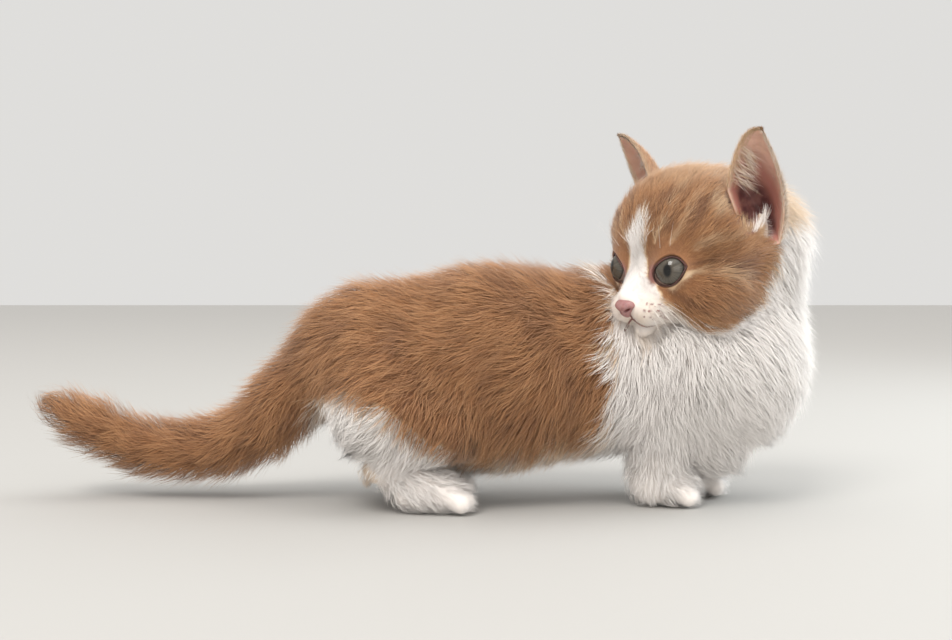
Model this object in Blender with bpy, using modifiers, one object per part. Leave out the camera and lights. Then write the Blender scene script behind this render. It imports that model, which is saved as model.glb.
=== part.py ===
"""A fluffy munchkin kitten at life size, standing with its head turned back over its right side.

Metres. +X runs from the tail to the chest, +Y to the cat's left side and +Z up.
The flesh is a smooth union of rounded bones. Each bone's surface is the dense part of the coat.
"""

import math
import random
from collections import namedtuple

import bmesh
import bpy
import numpy as np
from mathutils import Matrix, Vector
from mathutils.bvhtree import BVHTree

# Driving dimensions
GAP = 0.0003
LONG_COATED = ("chest", "neck", "torso", "rump", "tail_base", "tail_tip", "hind_leg_right", "hind_leg_left")
BACK_HEIGHT = 0.099
BELLY_HEIGHT = 0.0155
TORSO_WIDTH = 0.068
REAR_MIDLINE = 0.003
FRONT_MIDLINE = 0.010
HIND_STANCE = 0.021
FORE_STANCE = 0.0122
FORE_STEP = 0.0165
LEG_FLATTENING = 0.88
PAW_HEIGHT = 0.0145
HEAD_CENTRE = Vector((0.0805, -0.014, 0.107))
HEAD_TURN = math.radians(142)
HEAD_NOD = math.radians(12)
HEAD_ROLL = math.radians(4)
SKULL_RADIUS = 0.030
EYE_RADIUS = 0.0081
EYE_SPACING = 0.0226
LID = 0.0008
LID_HALF_WIDTH = 0.0068
LID_RISE = 0.0058
LID_DROP = 0.0053
LID_SLANT = 0.14
NOSE_SIZE = (0.0038, 0.0049, 0.0036)
NOSE_NARROWING = 0.55
NOSTRIL_SIZE = (0.0015, 0.0011, 0.0008)
MOUTH_GROOVE = 0.0006
EAR_WIDTH = 0.030
EAR_WALL = 0.0014
EAR_SUNK = 0.16
EAR_BULGE = 0.0015
EAR_CUP = 0.0022
EAR_CLEARANCE = 0.0009
EAR_BASE_BOW = math.radians(68)
EAR_TIP_BOW = math.radians(42)
TAIL_RADIUS = 0.0122

# Mesh fineness
HEAD_VOXEL = 0.0013
BODY_VOXEL = 0.0024
HEAD_TRIANGLES = 2200
BODY_TRIANGLES = 2000
NECK_TRIANGLES = 500
NOSE_TRIANGLES = 320
FACE_BLEND = 0.004
BODY_BLEND = 0.013
FOOT_BLEND = 0.25
FOOT_HEIGHT = 0.014
FACE_START = 0.014
FACE_SHARE = 0.08
FURTHEST_MOVE = 0.009

TORSO_MIDDLE = (BACK_HEIGHT + BELLY_HEIGHT) / 2
TORSO_RADIUS = (BACK_HEIGHT - BELLY_HEIGHT) / 2
TORSO_FLATTENING = TORSO_WIDTH / (2 * TORSO_RADIUS)

# The long coat: how much of a lock's length lies at each ring, with its width, depth and lift
LOCK_RINGS = ((0.0, 0.60, 1.0, 0.0), (0.40, 1.0, 1.0, 0.070), (0.76, 0.62, 0.7, 0.050))
LOCK_TIP_LIFT = -0.045
LOCK_SUNK = 0.0022
LOCK_FLOOR = 0.0045
LOCK_CLEARANCE = 0.0012
LOCK_SEED = 11
CHEST_START = 0.046

Bone = namedtuple("Bone", "start end start_radius end_radius flattening")
LockField = namedtuple("LockField", "start end rows toward span count length width thick lift")


def bone(start, end, start_radius, end_radius, flattening=1.0):
    """A rounded cone from start to end. Flattening below 1 makes it narrower along Y."""
    return Bone(Vector(start), Vector(end), start_radius, end_radius, flattening)


def head_axes():
    """Unit vectors of the turned head: forward along the nose, to its left, and up."""
    level = Vector((math.cos(HEAD_TURN), -math.sin(HEAD_TURN), 0))
    level_left = Vector((-level.y, level.x, 0))
    forward = level * math.cos(HEAD_NOD) - Vector((0, 0, math.sin(HEAD_NOD)))
    level_up = level * math.sin(HEAD_NOD) + Vector((0, 0, math.cos(HEAD_NOD)))
    left = level_left * math.cos(HEAD_ROLL) - level_up * math.sin(HEAD_ROLL)
    up = level_up * math.cos(HEAD_ROLL) + level_left * math.sin(HEAD_ROLL)
    return forward, left, up


FORWARD, LEFT, UP = head_axes()


def head_place(forward, left, up):
    """A point given along the head's own axes from the middle of the skull."""
    return HEAD_CENTRE + FORWARD * forward + LEFT * left + UP * up


def head_way(forward, left, up):
    return (FORWARD * forward + LEFT * left + UP * up).normalized()


def head_matrix(place, facing, upright=None):
    """A matrix whose X axis is facing and whose Z axis is as near upright as it can be."""
    x = facing.normalized()
    y = (upright or UP).cross(x).normalized()
    z = x.cross(y)
    return Matrix.Translation(place) @ Matrix((x, y, z)).transposed().to_4x4()


# Landmarks of the torso and tail
RUMP = (-0.0435, REAR_MIDLINE, 0.063)
LOIN = (0.006, 0.004, TORSO_MIDDLE)
WITHERS = (0.056, 0.006, 0.061)
BREAST = (0.105, 0.009, 0.061)
NAPE = (0.1095, 0.004, 0.109)
TAIL_LINE = [
    (-0.064, 0.004, 0.063),
    (-0.079, 0.009, 0.0460),
    (-0.092, 0.014, 0.0320),
    (-0.108, 0.017, 0.0235),
    (-0.126, 0.019, 0.0205),
    (-0.146, 0.019, 0.0225),
    (-0.164, 0.018, 0.0300),
    (-0.180, 0.016, 0.0390),
]


def torso_bones():
    trunk = [
        bone(RUMP, LOIN, 0.031, TORSO_RADIUS - 0.001, TORSO_FLATTENING),
        bone(LOIN, WITHERS, TORSO_RADIUS - 0.001, 0.037, TORSO_FLATTENING),
        bone(WITHERS, BREAST, 0.035, 0.032, 0.86),
        bone((0.101, 0.009, 0.046), (0.098, 0.009, 0.034), 0.028, 0.021),
        bone((0.088, -0.010, 0.064), (0.102, -0.006, 0.064), 0.024, 0.024),
    ]
    return trunk + neck_bones()


def neck_bones():
    return [
        bone(BREAST, NAPE, 0.032, 0.029, 0.90),
        bone(NAPE, head_place(-0.012, 0, 0), 0.025, 0.026),
    ]


def tail_bones():
    """The tail is thickest a third of the way along and ends bluntly."""
    last = len(TAIL_LINE) - 1
    bones = []
    for i in range(last):
        radii = [tail_radius((i + k) / last) for k in (0, 1)]
        bones.append(bone(TAIL_LINE[i], TAIL_LINE[i + 1], *radii))
    return bones


def tail_radius(along):
    return TAIL_RADIUS * (1.08 - 0.40 * along**2.2)


def hind_leg_bones(side):
    """side is -1 for the right leg and 1 for the left one."""
    y = REAR_MIDLINE + side * HIND_STANCE
    hip = (-0.036, REAR_MIDLINE + side * 0.014, 0.053)
    thigh = (-0.037, y, 0.042)
    knee = (-0.014, y, 0.034)
    hock = (-0.040, y, 0.0175)
    ball = (-0.012, y, 0.0085)
    bones = [
        bone(hip, thigh, 0.024, 0.019),
        bone(thigh, knee, 0.019, 0.014),
        bone(knee, hock, 0.013, 0.0075),
        bone(hock, ball, 0.0074, 0.0082),
        bone((-0.028, y, 0.0082), (-0.013, y, 0.0074), 0.0076, 0.0082),
    ]
    return bones + toe_bones(ball, 0.0082, 0.010)


def fore_leg_bones(side):
    """The left foreleg stands a little further forward."""
    y = FRONT_MIDLINE + side * FORE_STANCE
    x = foreleg_place(side)
    shoulder = (x + 0.004, FRONT_MIDLINE + side * 0.012, 0.050)
    wrist = (x - 0.003, y, 0.019)
    heel = (x - 0.0055, y, 0.0098)
    ball = (x + 0.004, y, 0.0090)
    bones = [
        bone(shoulder, wrist, 0.019, 0.0128, LEG_FLATTENING),
        bone(wrist, heel, 0.0128, 0.0108, LEG_FLATTENING),
        bone(heel, ball, 0.0108, 0.0098, LEG_FLATTENING),
    ]
    return bones + toe_bones(ball, 0.0066, 0.0105)


def foreleg_place(side):
    """How far forward a foreleg stands."""
    return 0.079 if side < 0 else 0.079 + FORE_STEP


def toe_bones(ball, reach, width):
    """Four toes fanned across the front of a paw, the middle two longest."""
    bones = []
    for share in (-1.0, -0.36, 0.36, 1.0):
        length = reach * (1.0 - 0.28 * abs(share))
        y = ball[1] + share * width * 0.62
        root = (ball[0] - 0.002, ball[1] + share * width * 0.34, 0.0088)
        tip = (ball[0] + length, y, 0.0050)
        bones.append(bone(root, tip, 0.0056, 0.0052))
    return bones


def head_bones():
    """The skull, brow, cheeks, muzzle and chin, all placed on the head's own axes."""
    bones = [
        bone(head_place(-0.0065, 0, 0.001), head_place(-0.011, 0, 0.000), SKULL_RADIUS, SKULL_RADIUS),
        bone(head_place(0.001, -0.007, 0.003), head_place(0.001, 0.007, 0.003), 0.0185, 0.0185),
        bone(head_place(0.012, 0, -0.004), head_place(0.0270, 0, -0.0140), 0.0092, 0.0056),
        bone(head_place(0.006, 0, -0.016), head_place(0.0165, 0, -0.0205), 0.0145, 0.0090),
        bone(head_place(0.0165, 0, -0.0275), head_place(0.0215, 0, -0.0280), 0.0058, 0.0050),
    ]
    for side in (-1, 1):
        cheek = head_place(-0.001, side * 0.0175, -0.0120)
        jowl = head_place(0.006, side * 0.0150, -0.0160)
        pad = head_place(0.0245, side * 0.0060, -0.0195)
        brow = head_place(0.0125, side * 0.0105, 0.0040)
        temple = head_place(-0.004, side * 0.0190, 0.0085)
        bones += [
            bone(cheek, jowl, 0.0150, 0.0142),
            bone(head_place(0.014, side * 0.0080, -0.0175), pad, 0.0088, 0.0066),
            bone(brow, temple, 0.0076, 0.0120),
            bone(eye_centre(side), eye_centre(side), EYE_RADIUS + LID, EYE_RADIUS + LID),
        ]
    return bones


def eye_facing(side):
    return head_way(0.90, side * 0.43, 0.04)


def eye_centre(side):
    return head_place(0.0135, side * EYE_SPACING / 2, -0.0048)


def field(points, groups):
    """Signed distance, about, from the smooth union of groups of (bones, blend).

    Bones blend less near the floor, so that the feet stay apart, and the muzzle doesn't
    blend with the shoulder behind it.
    """
    rise = np.clip((points[:, 2] - FOOT_HEIGHT) / (2 * FOOT_HEIGHT), 0, 1)
    share = FOOT_BLEND + (1 - FOOT_BLEND) * rise
    ahead = (points - np.array(HEAD_CENTRE)) @ np.array(FORWARD)
    behind_face = np.clip((FACE_START - ahead) / FACE_START, FACE_SHARE, 1)
    total = None
    for bones, blend in groups:
        group = None
        for one in bones:
            value = bone_distance(points, one)
            group = value if group is None else smooth_minimum(group, value, blend * share)
        total = group if total is None else smooth_minimum(total, group, BODY_BLEND * behind_face)
    return total


def bone_distance(points, one):
    start, along = np.array(one.start), np.array(one.end - one.start)
    size = max(float(along @ along), 1e-12)
    share = np.clip(((points - start) @ along) / size, 0, 1)
    away = points - (start + share[:, None] * along)
    away[:, 1] /= one.flattening
    radius = one.start_radius + (one.end_radius - one.start_radius) * share
    return np.linalg.norm(away, axis=1) - radius


def smooth_minimum(first, second, blend):
    near = np.maximum(blend - np.abs(first - second), 0) / blend
    return np.minimum(first, second) - near * near * blend / 4


def slope(points, groups):
    """The field's value and its gradient, by central differences."""
    step = 2e-4
    value = field(points, groups)
    gradient = np.empty_like(points)
    for axis in range(3):
        shift = np.zeros(3)
        shift[axis] = step
        rise = field(points + shift, groups) - field(points - shift, groups)
        gradient[:, axis] = rise / (2 * step)
    return value, gradient


def points_of(mesh):
    flat = np.empty(len(mesh.vertices) * 3)
    mesh.vertices.foreach_get("co", flat)
    return flat.reshape(-1, 3)


def settle(mesh, groups, rounds, evening=0.5):
    """Moves a mesh's points onto the field's zero surface, evening out their spacing as it goes."""
    points = points_of(mesh)
    ends = np.empty(len(mesh.edges) * 2, np.int64)
    mesh.edges.foreach_get("vertices", ends)
    first, second = ends.reshape(-1, 2).T
    degree = np.bincount(ends, minlength=len(points))[:, None]
    for _ in range(rounds):
        value, gradient = slope(points, groups)
        value[np.abs(value) > FURTHEST_MOVE] = 0
        size = np.maximum((gradient**2).sum(1, keepdims=True), 0.05)
        points -= np.clip(value[:, None], -0.002, 0.002) * gradient / size
        if evening:
            total = np.zeros_like(points)
            np.add.at(total, first, points[second])
            np.add.at(total, second, points[first])
            drift = (total / degree - points) * evening
            normal = gradient / np.sqrt(size)
            points += drift - normal * (drift * normal).sum(1, keepdims=True)
    mesh.vertices.foreach_set("co", points.ravel())
    mesh.update()


def link(obj, collection):
    collection.objects.link(obj)
    return obj


def mesh_object(name, bm, collection):
    mesh = bpy.data.meshes.new(name)
    bm.to_mesh(mesh)
    bm.free()
    return link(bpy.data.objects.new(name, mesh), collection)


def applied(obj):
    """Replaces an object's mesh by the one that its modifiers make."""
    graph = bpy.context.evaluated_depsgraph_get()
    graph.update()
    mesh = bpy.data.meshes.new_from_object(obj.evaluated_get(graph))
    obj.modifiers.clear()
    obj.data = mesh
    return obj


def add_bone_solid(bm, one):
    """The hull of a ball at each end of a bone."""
    balls = bmesh.new()
    ends = [(one.start, one.start_radius), (one.end, one.end_radius)]
    for place, radius in ends:
        matrix = Matrix.Translation(place) @ Matrix.Diagonal((1, one.flattening, 1, 1))
        bmesh.ops.create_icosphere(balls, subdivisions=3, radius=radius, matrix=matrix)
    corners = [bm.verts.new(vert.co) for vert in balls.verts]
    balls.free()
    bmesh.ops.convex_hull(bm, input=corners)
    bmesh.ops.delete(bm, geom=[vert for vert in corners if not vert.link_faces], context="VERTS")


def flesh(name, bones, groups, voxel, triangles, collection):
    """One closed surface around the bones, at about the number of triangles asked for."""
    bm = bmesh.new()
    for one in bones:
        piece = bmesh.new()
        add_bone_solid(piece, one)
        scrap = bpy.data.meshes.new("scrap")
        piece.to_mesh(scrap)
        piece.free()
        bm.from_mesh(scrap)
        bpy.data.meshes.remove(scrap)
    obj = mesh_object(name, bm, collection)
    remesh = obj.modifiers.new("Blend", "REMESH")
    remesh.mode = "VOXEL"
    remesh.voxel_size = voxel
    applied(obj)
    settle(obj.data, groups, 14)
    thin_out(obj, triangles)
    settle(obj.data, groups, 3, evening=0)
    return obj


def thin_out(obj, triangles):
    obj.data.calc_loop_triangles()
    decimate = obj.modifiers.new("Fewer", "DECIMATE")
    decimate.ratio = min(1.0, triangles / len(obj.data.loop_triangles))
    return applied(obj)


def boolean(obj, operation, operand, solver="EXACT"):
    """Joins or cuts obj with an object, or with a whole collection, and applies it."""
    modifier = obj.modifiers.new("Join", "BOOLEAN")
    modifier.operation = operation
    modifier.solver = solver
    if isinstance(operand, bpy.types.Collection):
        modifier.operand_type = "COLLECTION"
        modifier.collection = operand
    else:
        modifier.object = operand
    return applied(obj)


def lock_fields():
    """Where the long coat grows: round the trunk, on the neck's and chest's front, and round the tail."""
    trunk_front, trunk_rear = Vector((0.106, 0.009, 0.058)), Vector((-0.060, REAR_MIDLINE, 0.058))
    neck_low, neck_high = Vector((0.100, 0.009, 0.030)), Vector((0.107, 0.005, 0.128))
    up, ahead = Vector((0, 0, 1)), Vector((1, 0, 0))
    fields = [
        LockField(trunk_front, trunk_rear, 10, up, 330, 10, 0.031, 0.0180, 0.0030, 0.20),
        LockField(neck_low, neck_high, 6, ahead, 190, 6, 0.026, 0.0160, 0.0030, 0.10),
    ]
    tail = [Vector(point) for point in TAIL_LINE]
    for start, end in zip(tail, tail[1:]):
        across = up.cross(end - start).cross(end - start).normalized()
        fields.append(LockField(start, end, 1, across, 360, 5, 0.027, 0.0130, 0.0026, 0.19))
    return fields


def coat_lie(place):
    """The way that the long coat runs: back along the trunk and tail, and down the sides and chest."""
    tail = [Vector(point) for point in TAIL_LINE]
    if place.x < tail[0].x:
        nearest = min(range(len(tail) - 1), key=lambda i: ((tail[i] + tail[i + 1]) / 2 - place).length)
        return (tail[nearest + 1] - tail[nearest]).normalized()
    low = min(max((BACK_HEIGHT - place.z) / BACK_HEIGHT, 0), 1)
    if place.x < CHEST_START:
        return Vector((0.45 * low - 0.95, 0, -0.20 - 0.70 * low))
    ahead = min((place.x - CHEST_START) / 0.05, 1)
    sideways = (place.y - FRONT_MIDLINE) / 0.035
    return Vector((0.95 * ahead - 0.45, 0.25 * sideways, -0.80))


def lock_rings(root, lie, outward, length, width, thick):
    """The corners of a lock's rings, from its sunk root to the last one before its tip."""
    across = outward.cross(lie).normalized()
    rings = []
    for share, wide, deep, lift in LOCK_RINGS:
        middle = root + lie * (length * share) + outward * (length * lift)
        side = across * (width * wide / 2)
        rise = outward * (thick * deep / 2)
        rings.append((middle - side, middle - rise, middle + side, middle + rise))
    tip = root + lie * length + outward * (length * LOCK_TIP_LIFT)
    return rings, tip


def lock_solid(rings, tip):
    """A flat, tapered lock that bends as it leaves the surface and ends in a point."""
    bm = bmesh.new()
    rows = [[bm.verts.new(corner) for corner in ring] for ring in rings]
    point = bm.verts.new(tip)
    bm.faces.new(rows[0])
    for lower, upper in zip(rows, rows[1:]):
        for i in range(4):
            bm.faces.new((lower[i], lower[i - 1], upper[i - 1], upper[i]))
    for i in range(4):
        bm.faces.new((rows[-1][i], rows[-1][i - 1], point))
    bmesh.ops.triangulate(bm, faces=bm.faces)
    return outwards(bm)


def outer_points(rings, tip):
    """The corners of a lock, with a point between each and the next."""
    points = [tip, *rings[0]]
    for lower, upper in zip(rings, rings[1:]):
        for low, high in zip(lower, upper):
            points += [high, low.lerp(high, 0.6)]
    return points + [corner.lerp(tip, 0.5) for corner in rings[-1]]


def stands_clear(corners, owner, trees):
    """Whether points lie nearer to their own node than to any other, and above the floor."""
    for corner in corners:
        if corner.z < LOCK_FLOOR:
            return False
        own = trees[owner].find_nearest(corner)[3]
        for name, tree in trees.items():
            if name == owner:
                continue
            if tree.find_nearest(corner, own + LOCK_CLEARANCE)[3] is not None:
                return False
    return True


def first_hit(trees, start, way):
    """The first node that a ray meets, with the place and the normal there."""
    hits = []
    for name, tree in trees.items():
        place, normal, _, distance = tree.ray_cast(start, way)
        if place is not None:
            hits.append((distance, name, place, normal))
    return min(hits, key=lambda hit: hit[0])[1:] if hits else (None, None, None)


def lock_rays(field_of, draw):
    """Rays towards the middle of each row of locks. Every other row is turned by half a step."""
    axis = (field_of.end - field_of.start).normalized()
    toward = surface_way(axis, field_of.toward)
    other = axis.cross(toward)
    for row in range(field_of.rows):
        share = row / (field_of.rows - 1) if field_of.rows > 1 else 0.5
        middle = field_of.start.lerp(field_of.end, share)
        for i in range(field_of.count):
            step = i - (field_of.count - 1) / 2 + (0.5 if row % 2 else 0) + draw.uniform(-0.15, 0.15)
            angle = math.radians(field_of.span * step / field_of.count)
            way = toward * math.cos(angle) + other * math.sin(angle)
            shift = axis * draw.uniform(-0.002, 0.002)
            yield middle + shift + way * 0.1, -way


def surface_way(normal, way):
    """The part of a direction that runs along a surface."""
    along = way - normal * way.dot(normal)
    return along.normalized() if along.length > 1e-4 else normal.orthogonal().normalized()


def add_locks(nodes):
    """Grows the long coat on the nodes. A lock that would reach another node is made shorter."""
    trees = {name: surface_of(obj) for name, obj in nodes.items()}
    draw = random.Random(LOCK_SEED)
    grown_on = {}
    for field_of in lock_fields():
        for start, way in lock_rays(field_of, draw):
            name, place, normal = first_hit(trees, start, way)
            size, lift = draw.uniform(0.85, 1.15), field_of.lift * draw.uniform(0.7, 1.25)
            if name not in LONG_COATED:
                continue
            lie = surface_way(normal, coat_lie(place))
            lie = (lie + normal * lift).normalized()
            outward = surface_way(lie, normal)
            root = place - lie * LOCK_SUNK - outward * LOCK_SUNK
            for shorter in (1.0, 0.85, 0.7, 0.55, 0.42):
                length, width = field_of.length * size * shorter, field_of.width * size * shorter**0.5
                rings, tip = lock_rings(root, lie, outward, length, width, field_of.thick)
                if stands_clear(outer_points(rings, tip), name, trees):
                    grown_on.setdefault(name, []).append(lock_solid(rings, tip))
                    break
    for name, solids in grown_on.items():
        bundle = collection_named(f"{name}_locks")
        for solid in solids:
            mesh_object("lock", solid, bundle)
        boolean(nodes[name], "UNION", bundle)
        for obj in list(bundle.objects):
            bpy.data.objects.remove(obj)
        bpy.data.collections.remove(bundle)
        largest_body(nodes[name])


def largest_body(obj):
    """Keeps only the largest closed surface of an object."""
    bm = bmesh.new()
    bm.from_mesh(obj.data)
    bm.verts.ensure_lookup_table()
    left, bodies = set(bm.verts), []
    while left:
        front, body = [left.pop()], []
        while front:
            vert = front.pop()
            body.append(vert)
            near = {edge.other_vert(vert) for edge in vert.link_edges} & left
            left -= near
            front += near
        bodies.append(body)
    bodies.sort(key=len)
    for body in bodies[:-1]:
        bmesh.ops.delete(bm, geom=body, context="VERTS")
    bm.to_mesh(obj.data)
    bm.free()
    return obj


def copy_of(obj, name, collection):
    return link(bpy.data.objects.new(name, obj.data.copy()), collection)


def egg(place, radii, turn=None):
    """A maker of egg shapes. Growth is how far one stands out beyond the plain size."""
    def make(growth=0.0):
        bm = bmesh.new()
        sizes = Matrix.Diagonal((*(radius + growth for radius in radii), 1))
        placed = Matrix.Translation(place) @ (turn or Matrix.Identity(4)) @ sizes
        bmesh.ops.create_icosphere(bm, subdivisions=3, radius=1, matrix=placed)
        return bm
    return make


def slab(low, high):
    """A maker of boxes that lie square to the axes."""
    def make(growth=0.0):
        bm = bmesh.new()
        more = Vector((growth,) * 3)
        start, end = Vector(low) - more, Vector(high) + more
        placed = Matrix.Translation((start + end) / 2) @ Matrix.Diagonal((*(end - start), 1))
        bmesh.ops.create_cube(bm, size=1, matrix=placed)
        return bm
    return make


def trimmed(maker, place, normal):
    """A maker of the same shape without what lies beyond a plane. The normal points out of it."""
    def make(growth=0.0):
        bm = maker(growth)
        everything = bm.verts[:] + bm.edges[:] + bm.faces[:]
        start = place + normal * growth
        bmesh.ops.bisect_plane(bm, geom=everything, plane_co=start, plane_no=normal, clear_outer=True)
        open_edges = [edge for edge in bm.edges if edge.is_boundary]
        bmesh.ops.triangle_fill(bm, edges=open_edges, use_beauty=True)
        return outwards(bm)
    return make


def merge_soles(obj):
    """Joins the faces of each flat sole, so that it has as few as its outline needs."""
    bm = bmesh.new()
    bm.from_mesh(obj.data)
    flat = [face for face in bm.faces if max(vert.co.z for vert in face.verts) < 1e-6]
    bmesh.ops.dissolve_faces(bm, faces=flat, use_verts=False)
    bmesh.ops.triangulate(bm, faces=[face for face in bm.faces if len(face.verts) > 3])
    bm.to_mesh(obj.data)
    bm.free()


def cutter(name, maker, collection, growth=0.0):
    return as_cutter(mesh_object(name, maker(growth), collection))


def as_cutter(obj):
    obj.hide_render = True
    obj.display_type = "WIRE"
    return obj


def head_turn_matrix():
    return Matrix((FORWARD, LEFT, UP)).transposed().to_4x4()


def tilted(degrees, axis="Y"):
    return Matrix.Rotation(math.radians(degrees), 4, axis)


def regions():
    """The nodes' names and the space each one takes up, in the order that they are parted."""
    skull = egg(head_place(-0.006, 0, -0.001), (0.049, 0.0355, 0.042), head_turn_matrix())
    occiput, backward = head_place(-0.024, 0, -0.002), head_way(-0.80, 0, -0.60)
    throat, upward = Vector((0.105, 0, 0.089)), Vector((0.30, 0, 0.95))
    found = {
        "head": trimmed(skull, occiput, backward),
        "neck": trimmed(slab((0.05, -0.1, 0.02), (0.2, 0.1, 0.2)), throat, -upward.normalized()),
        "tail_tip": slab((-0.250, -0.06, -0.01), (-0.125, 0.08, 0.13)),
        "tail_base": slab((-0.250, -0.06, -0.01), (-0.079, 0.08, 0.13)),
    }
    for word, side in (("right", -1), ("left", 1)):
        foot = Vector((-0.0215, REAR_MIDLINE + side * HIND_STANCE, 0.002))
        thigh = Vector((-0.034, REAR_MIDLINE + side * (HIND_STANCE + 0.006), 0.036))
        shoulder = Vector((foreleg_place(side), FRONT_MIDLINE + side * (FORE_STANCE + 0.0155), 0.034))
        near, far = sorted((FRONT_MIDLINE + side * GAP / 2, FRONT_MIDLINE + side * 0.05))
        found[f"hind_foot_{word}"] = egg(foot, (0.036, 0.0185, 0.0185), tilted(-4))
        found[f"hind_leg_{word}"] = egg(thigh, (0.034, 0.0195, 0.030), tilted(-10))
        found[f"fore_paw_{word}"] = slab((0.045, near, -0.01), (0.14, far, PAW_HEIGHT))
        found[f"fore_leg_{word}"] = egg(shoulder, (0.022, 0.0256, 0.027))
    found["rump"] = slab((-0.200, -0.10, -0.01), (-0.016, 0.10, 0.20))
    found["chest"] = slab((0.044, -0.10, -0.01), (0.20, 0.10, 0.20))
    return found


def part_whole(whole, parts, cutters, names):
    """Takes each named region out of the whole as its own node, and returns the nodes."""
    nodes = {}
    for name, maker in regions().items():
        if name in names:
            nodes[name] = copy_of(whole, name, parts)
            boolean(nodes[name], "INTERSECT", cutter(f"{name}_cutter", maker, cutters))
            largest_body(nodes[name])
            boolean(whole, "DIFFERENCE", cutter(f"{name}_cutter", maker, cutters, growth=GAP))
    largest_body(whole)
    return nodes


def almond_cutter(side, collection):
    """The opening between the lids: two arcs that meet at the inner and outer corner."""
    outline = bmesh.new()
    count = 12
    rim = []
    for i in range(2 * count):
        angle = math.pi * i / count
        height = LID_RISE if angle < math.pi else LID_DROP
        across = math.cos(angle) * LID_HALF_WIDTH
        rise = math.sin(angle) * height + LID_SLANT * across * side
        rim.append((across, rise))
    near = [outline.verts.new((0.0035, a * 0.62, r * 0.62)) for a, r in rim]
    far = [outline.verts.new((0.016, a * 1.55, r * 1.55)) for a, r in rim]
    outline.faces.new(near)
    outline.faces.new(far[::-1])
    for i in range(len(rim)):
        j = (i + 1) % len(rim)
        outline.faces.new((near[i], far[i], far[j], near[j]))
    bmesh.ops.recalc_face_normals(outline, faces=outline.faces)
    outline.transform(head_matrix(eye_centre(side), eye_facing(side)))
    return as_cutter(mesh_object(f"lid_cutter_{side}", outline, collection))


def ball(name, place, radius, collection, subdivisions=3):
    bm = bmesh.new()
    bmesh.ops.create_icosphere(bm, subdivisions=subdivisions, radius=radius, matrix=Matrix.Translation(place))
    return mesh_object(name, bm, collection)


def tube(name, points, radius, collection, sides=2):
    """A closed tube along a few points, as a mesh."""
    curve = bpy.data.curves.new(name, "CURVE")
    curve.dimensions = "3D"
    curve.bevel_depth = radius
    curve.bevel_resolution = sides
    curve.use_fill_caps = True
    spline = curve.splines.new("POLY")
    spline.points.add(len(points) - 1)
    for point, place in zip(spline.points, points):
        point.co = (*place, 1)
    made = link(bpy.data.objects.new(name, curve), collection)
    graph = bpy.context.evaluated_depsgraph_get()
    graph.update()
    mesh = bpy.data.meshes.new_from_object(made.evaluated_get(graph))
    bpy.data.objects.remove(made)
    bm = bmesh.new()
    bm.from_mesh(mesh)
    bmesh.ops.remove_doubles(bm, verts=bm.verts, dist=1e-6)
    bpy.data.meshes.remove(mesh)
    return mesh_object(name, outwards(bm), collection)


def mouth_line(surface):
    """From below the nose down the lip's cleft, then along each upper lip to the mouth's corner."""
    centre = [(0.0340, 0, -0.0195), (0.0320, 0, -0.0245)]
    lips = [(0.0320, 0.0003, -0.0246), (0.0295, 0.0038, -0.0262), (0.0250, 0.0076, -0.0272)]
    lips += [(0.0200, 0.0104, -0.0268)]
    lines = [centre]
    for side in (-1, 1):
        lines.append([(f, side * left, up) for f, left, up in lips])
    return [[onto(surface, head_place(*place)) for place in line] for line in lines]


def onto(surface, place):
    return surface.find_nearest(place)[0]


def surface_of(obj):
    bm = bmesh.new()
    bm.from_mesh(obj.data)
    tree = BVHTree.FromBMesh(bm)
    bm.free()
    return tree


def cut_face(head, cutters):
    """Cuts the eye sockets, the opening of the lids, the mouth's line and the nose's seat."""
    surface = surface_of(head)
    for side in (-1, 1):
        socket = as_cutter(ball(f"socket_{side}", eye_centre(side), EYE_RADIUS + GAP, cutters))
        boolean(head, "DIFFERENCE", socket)
        boolean(head, "DIFFERENCE", almond_cutter(side, cutters))
    for i, line in enumerate(mouth_line(surface)):
        groove = as_cutter(tube(f"mouth_{i}", line, MOUTH_GROOVE, cutters))
        boolean(head, "DIFFERENCE", groove, solver="MANIFOLD")


def nose(parts, cutters):
    """The bare leather at the end of the muzzle, with two nostrils."""
    bm = bmesh.new()
    bmesh.ops.create_icosphere(bm, subdivisions=4, radius=1)
    length, width, height = NOSE_SIZE
    for vert in bm.verts:
        x, y, z = vert.co
        narrowing = 1.0 - NOSE_NARROWING * max(0.0, -z)
        vert.co = Vector((x * length, y * width * narrowing, z * height))
    bm.transform(head_matrix(head_place(0.0305, 0, -0.0160), head_way(0.93, 0, -0.28)))
    obj = mesh_object("nose", bm, parts)
    for side in (-1, 1):
        pit = head_place(0.0341, side * 0.0023, -0.0171)
        opening = egg(pit, NOSTRIL_SIZE, head_turn_matrix())
        boolean(obj, "DIFFERENCE", cutter(f"nostril_{side}", opening, cutters))
    return thin_out(obj, NOSE_TRIANGLES)


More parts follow.
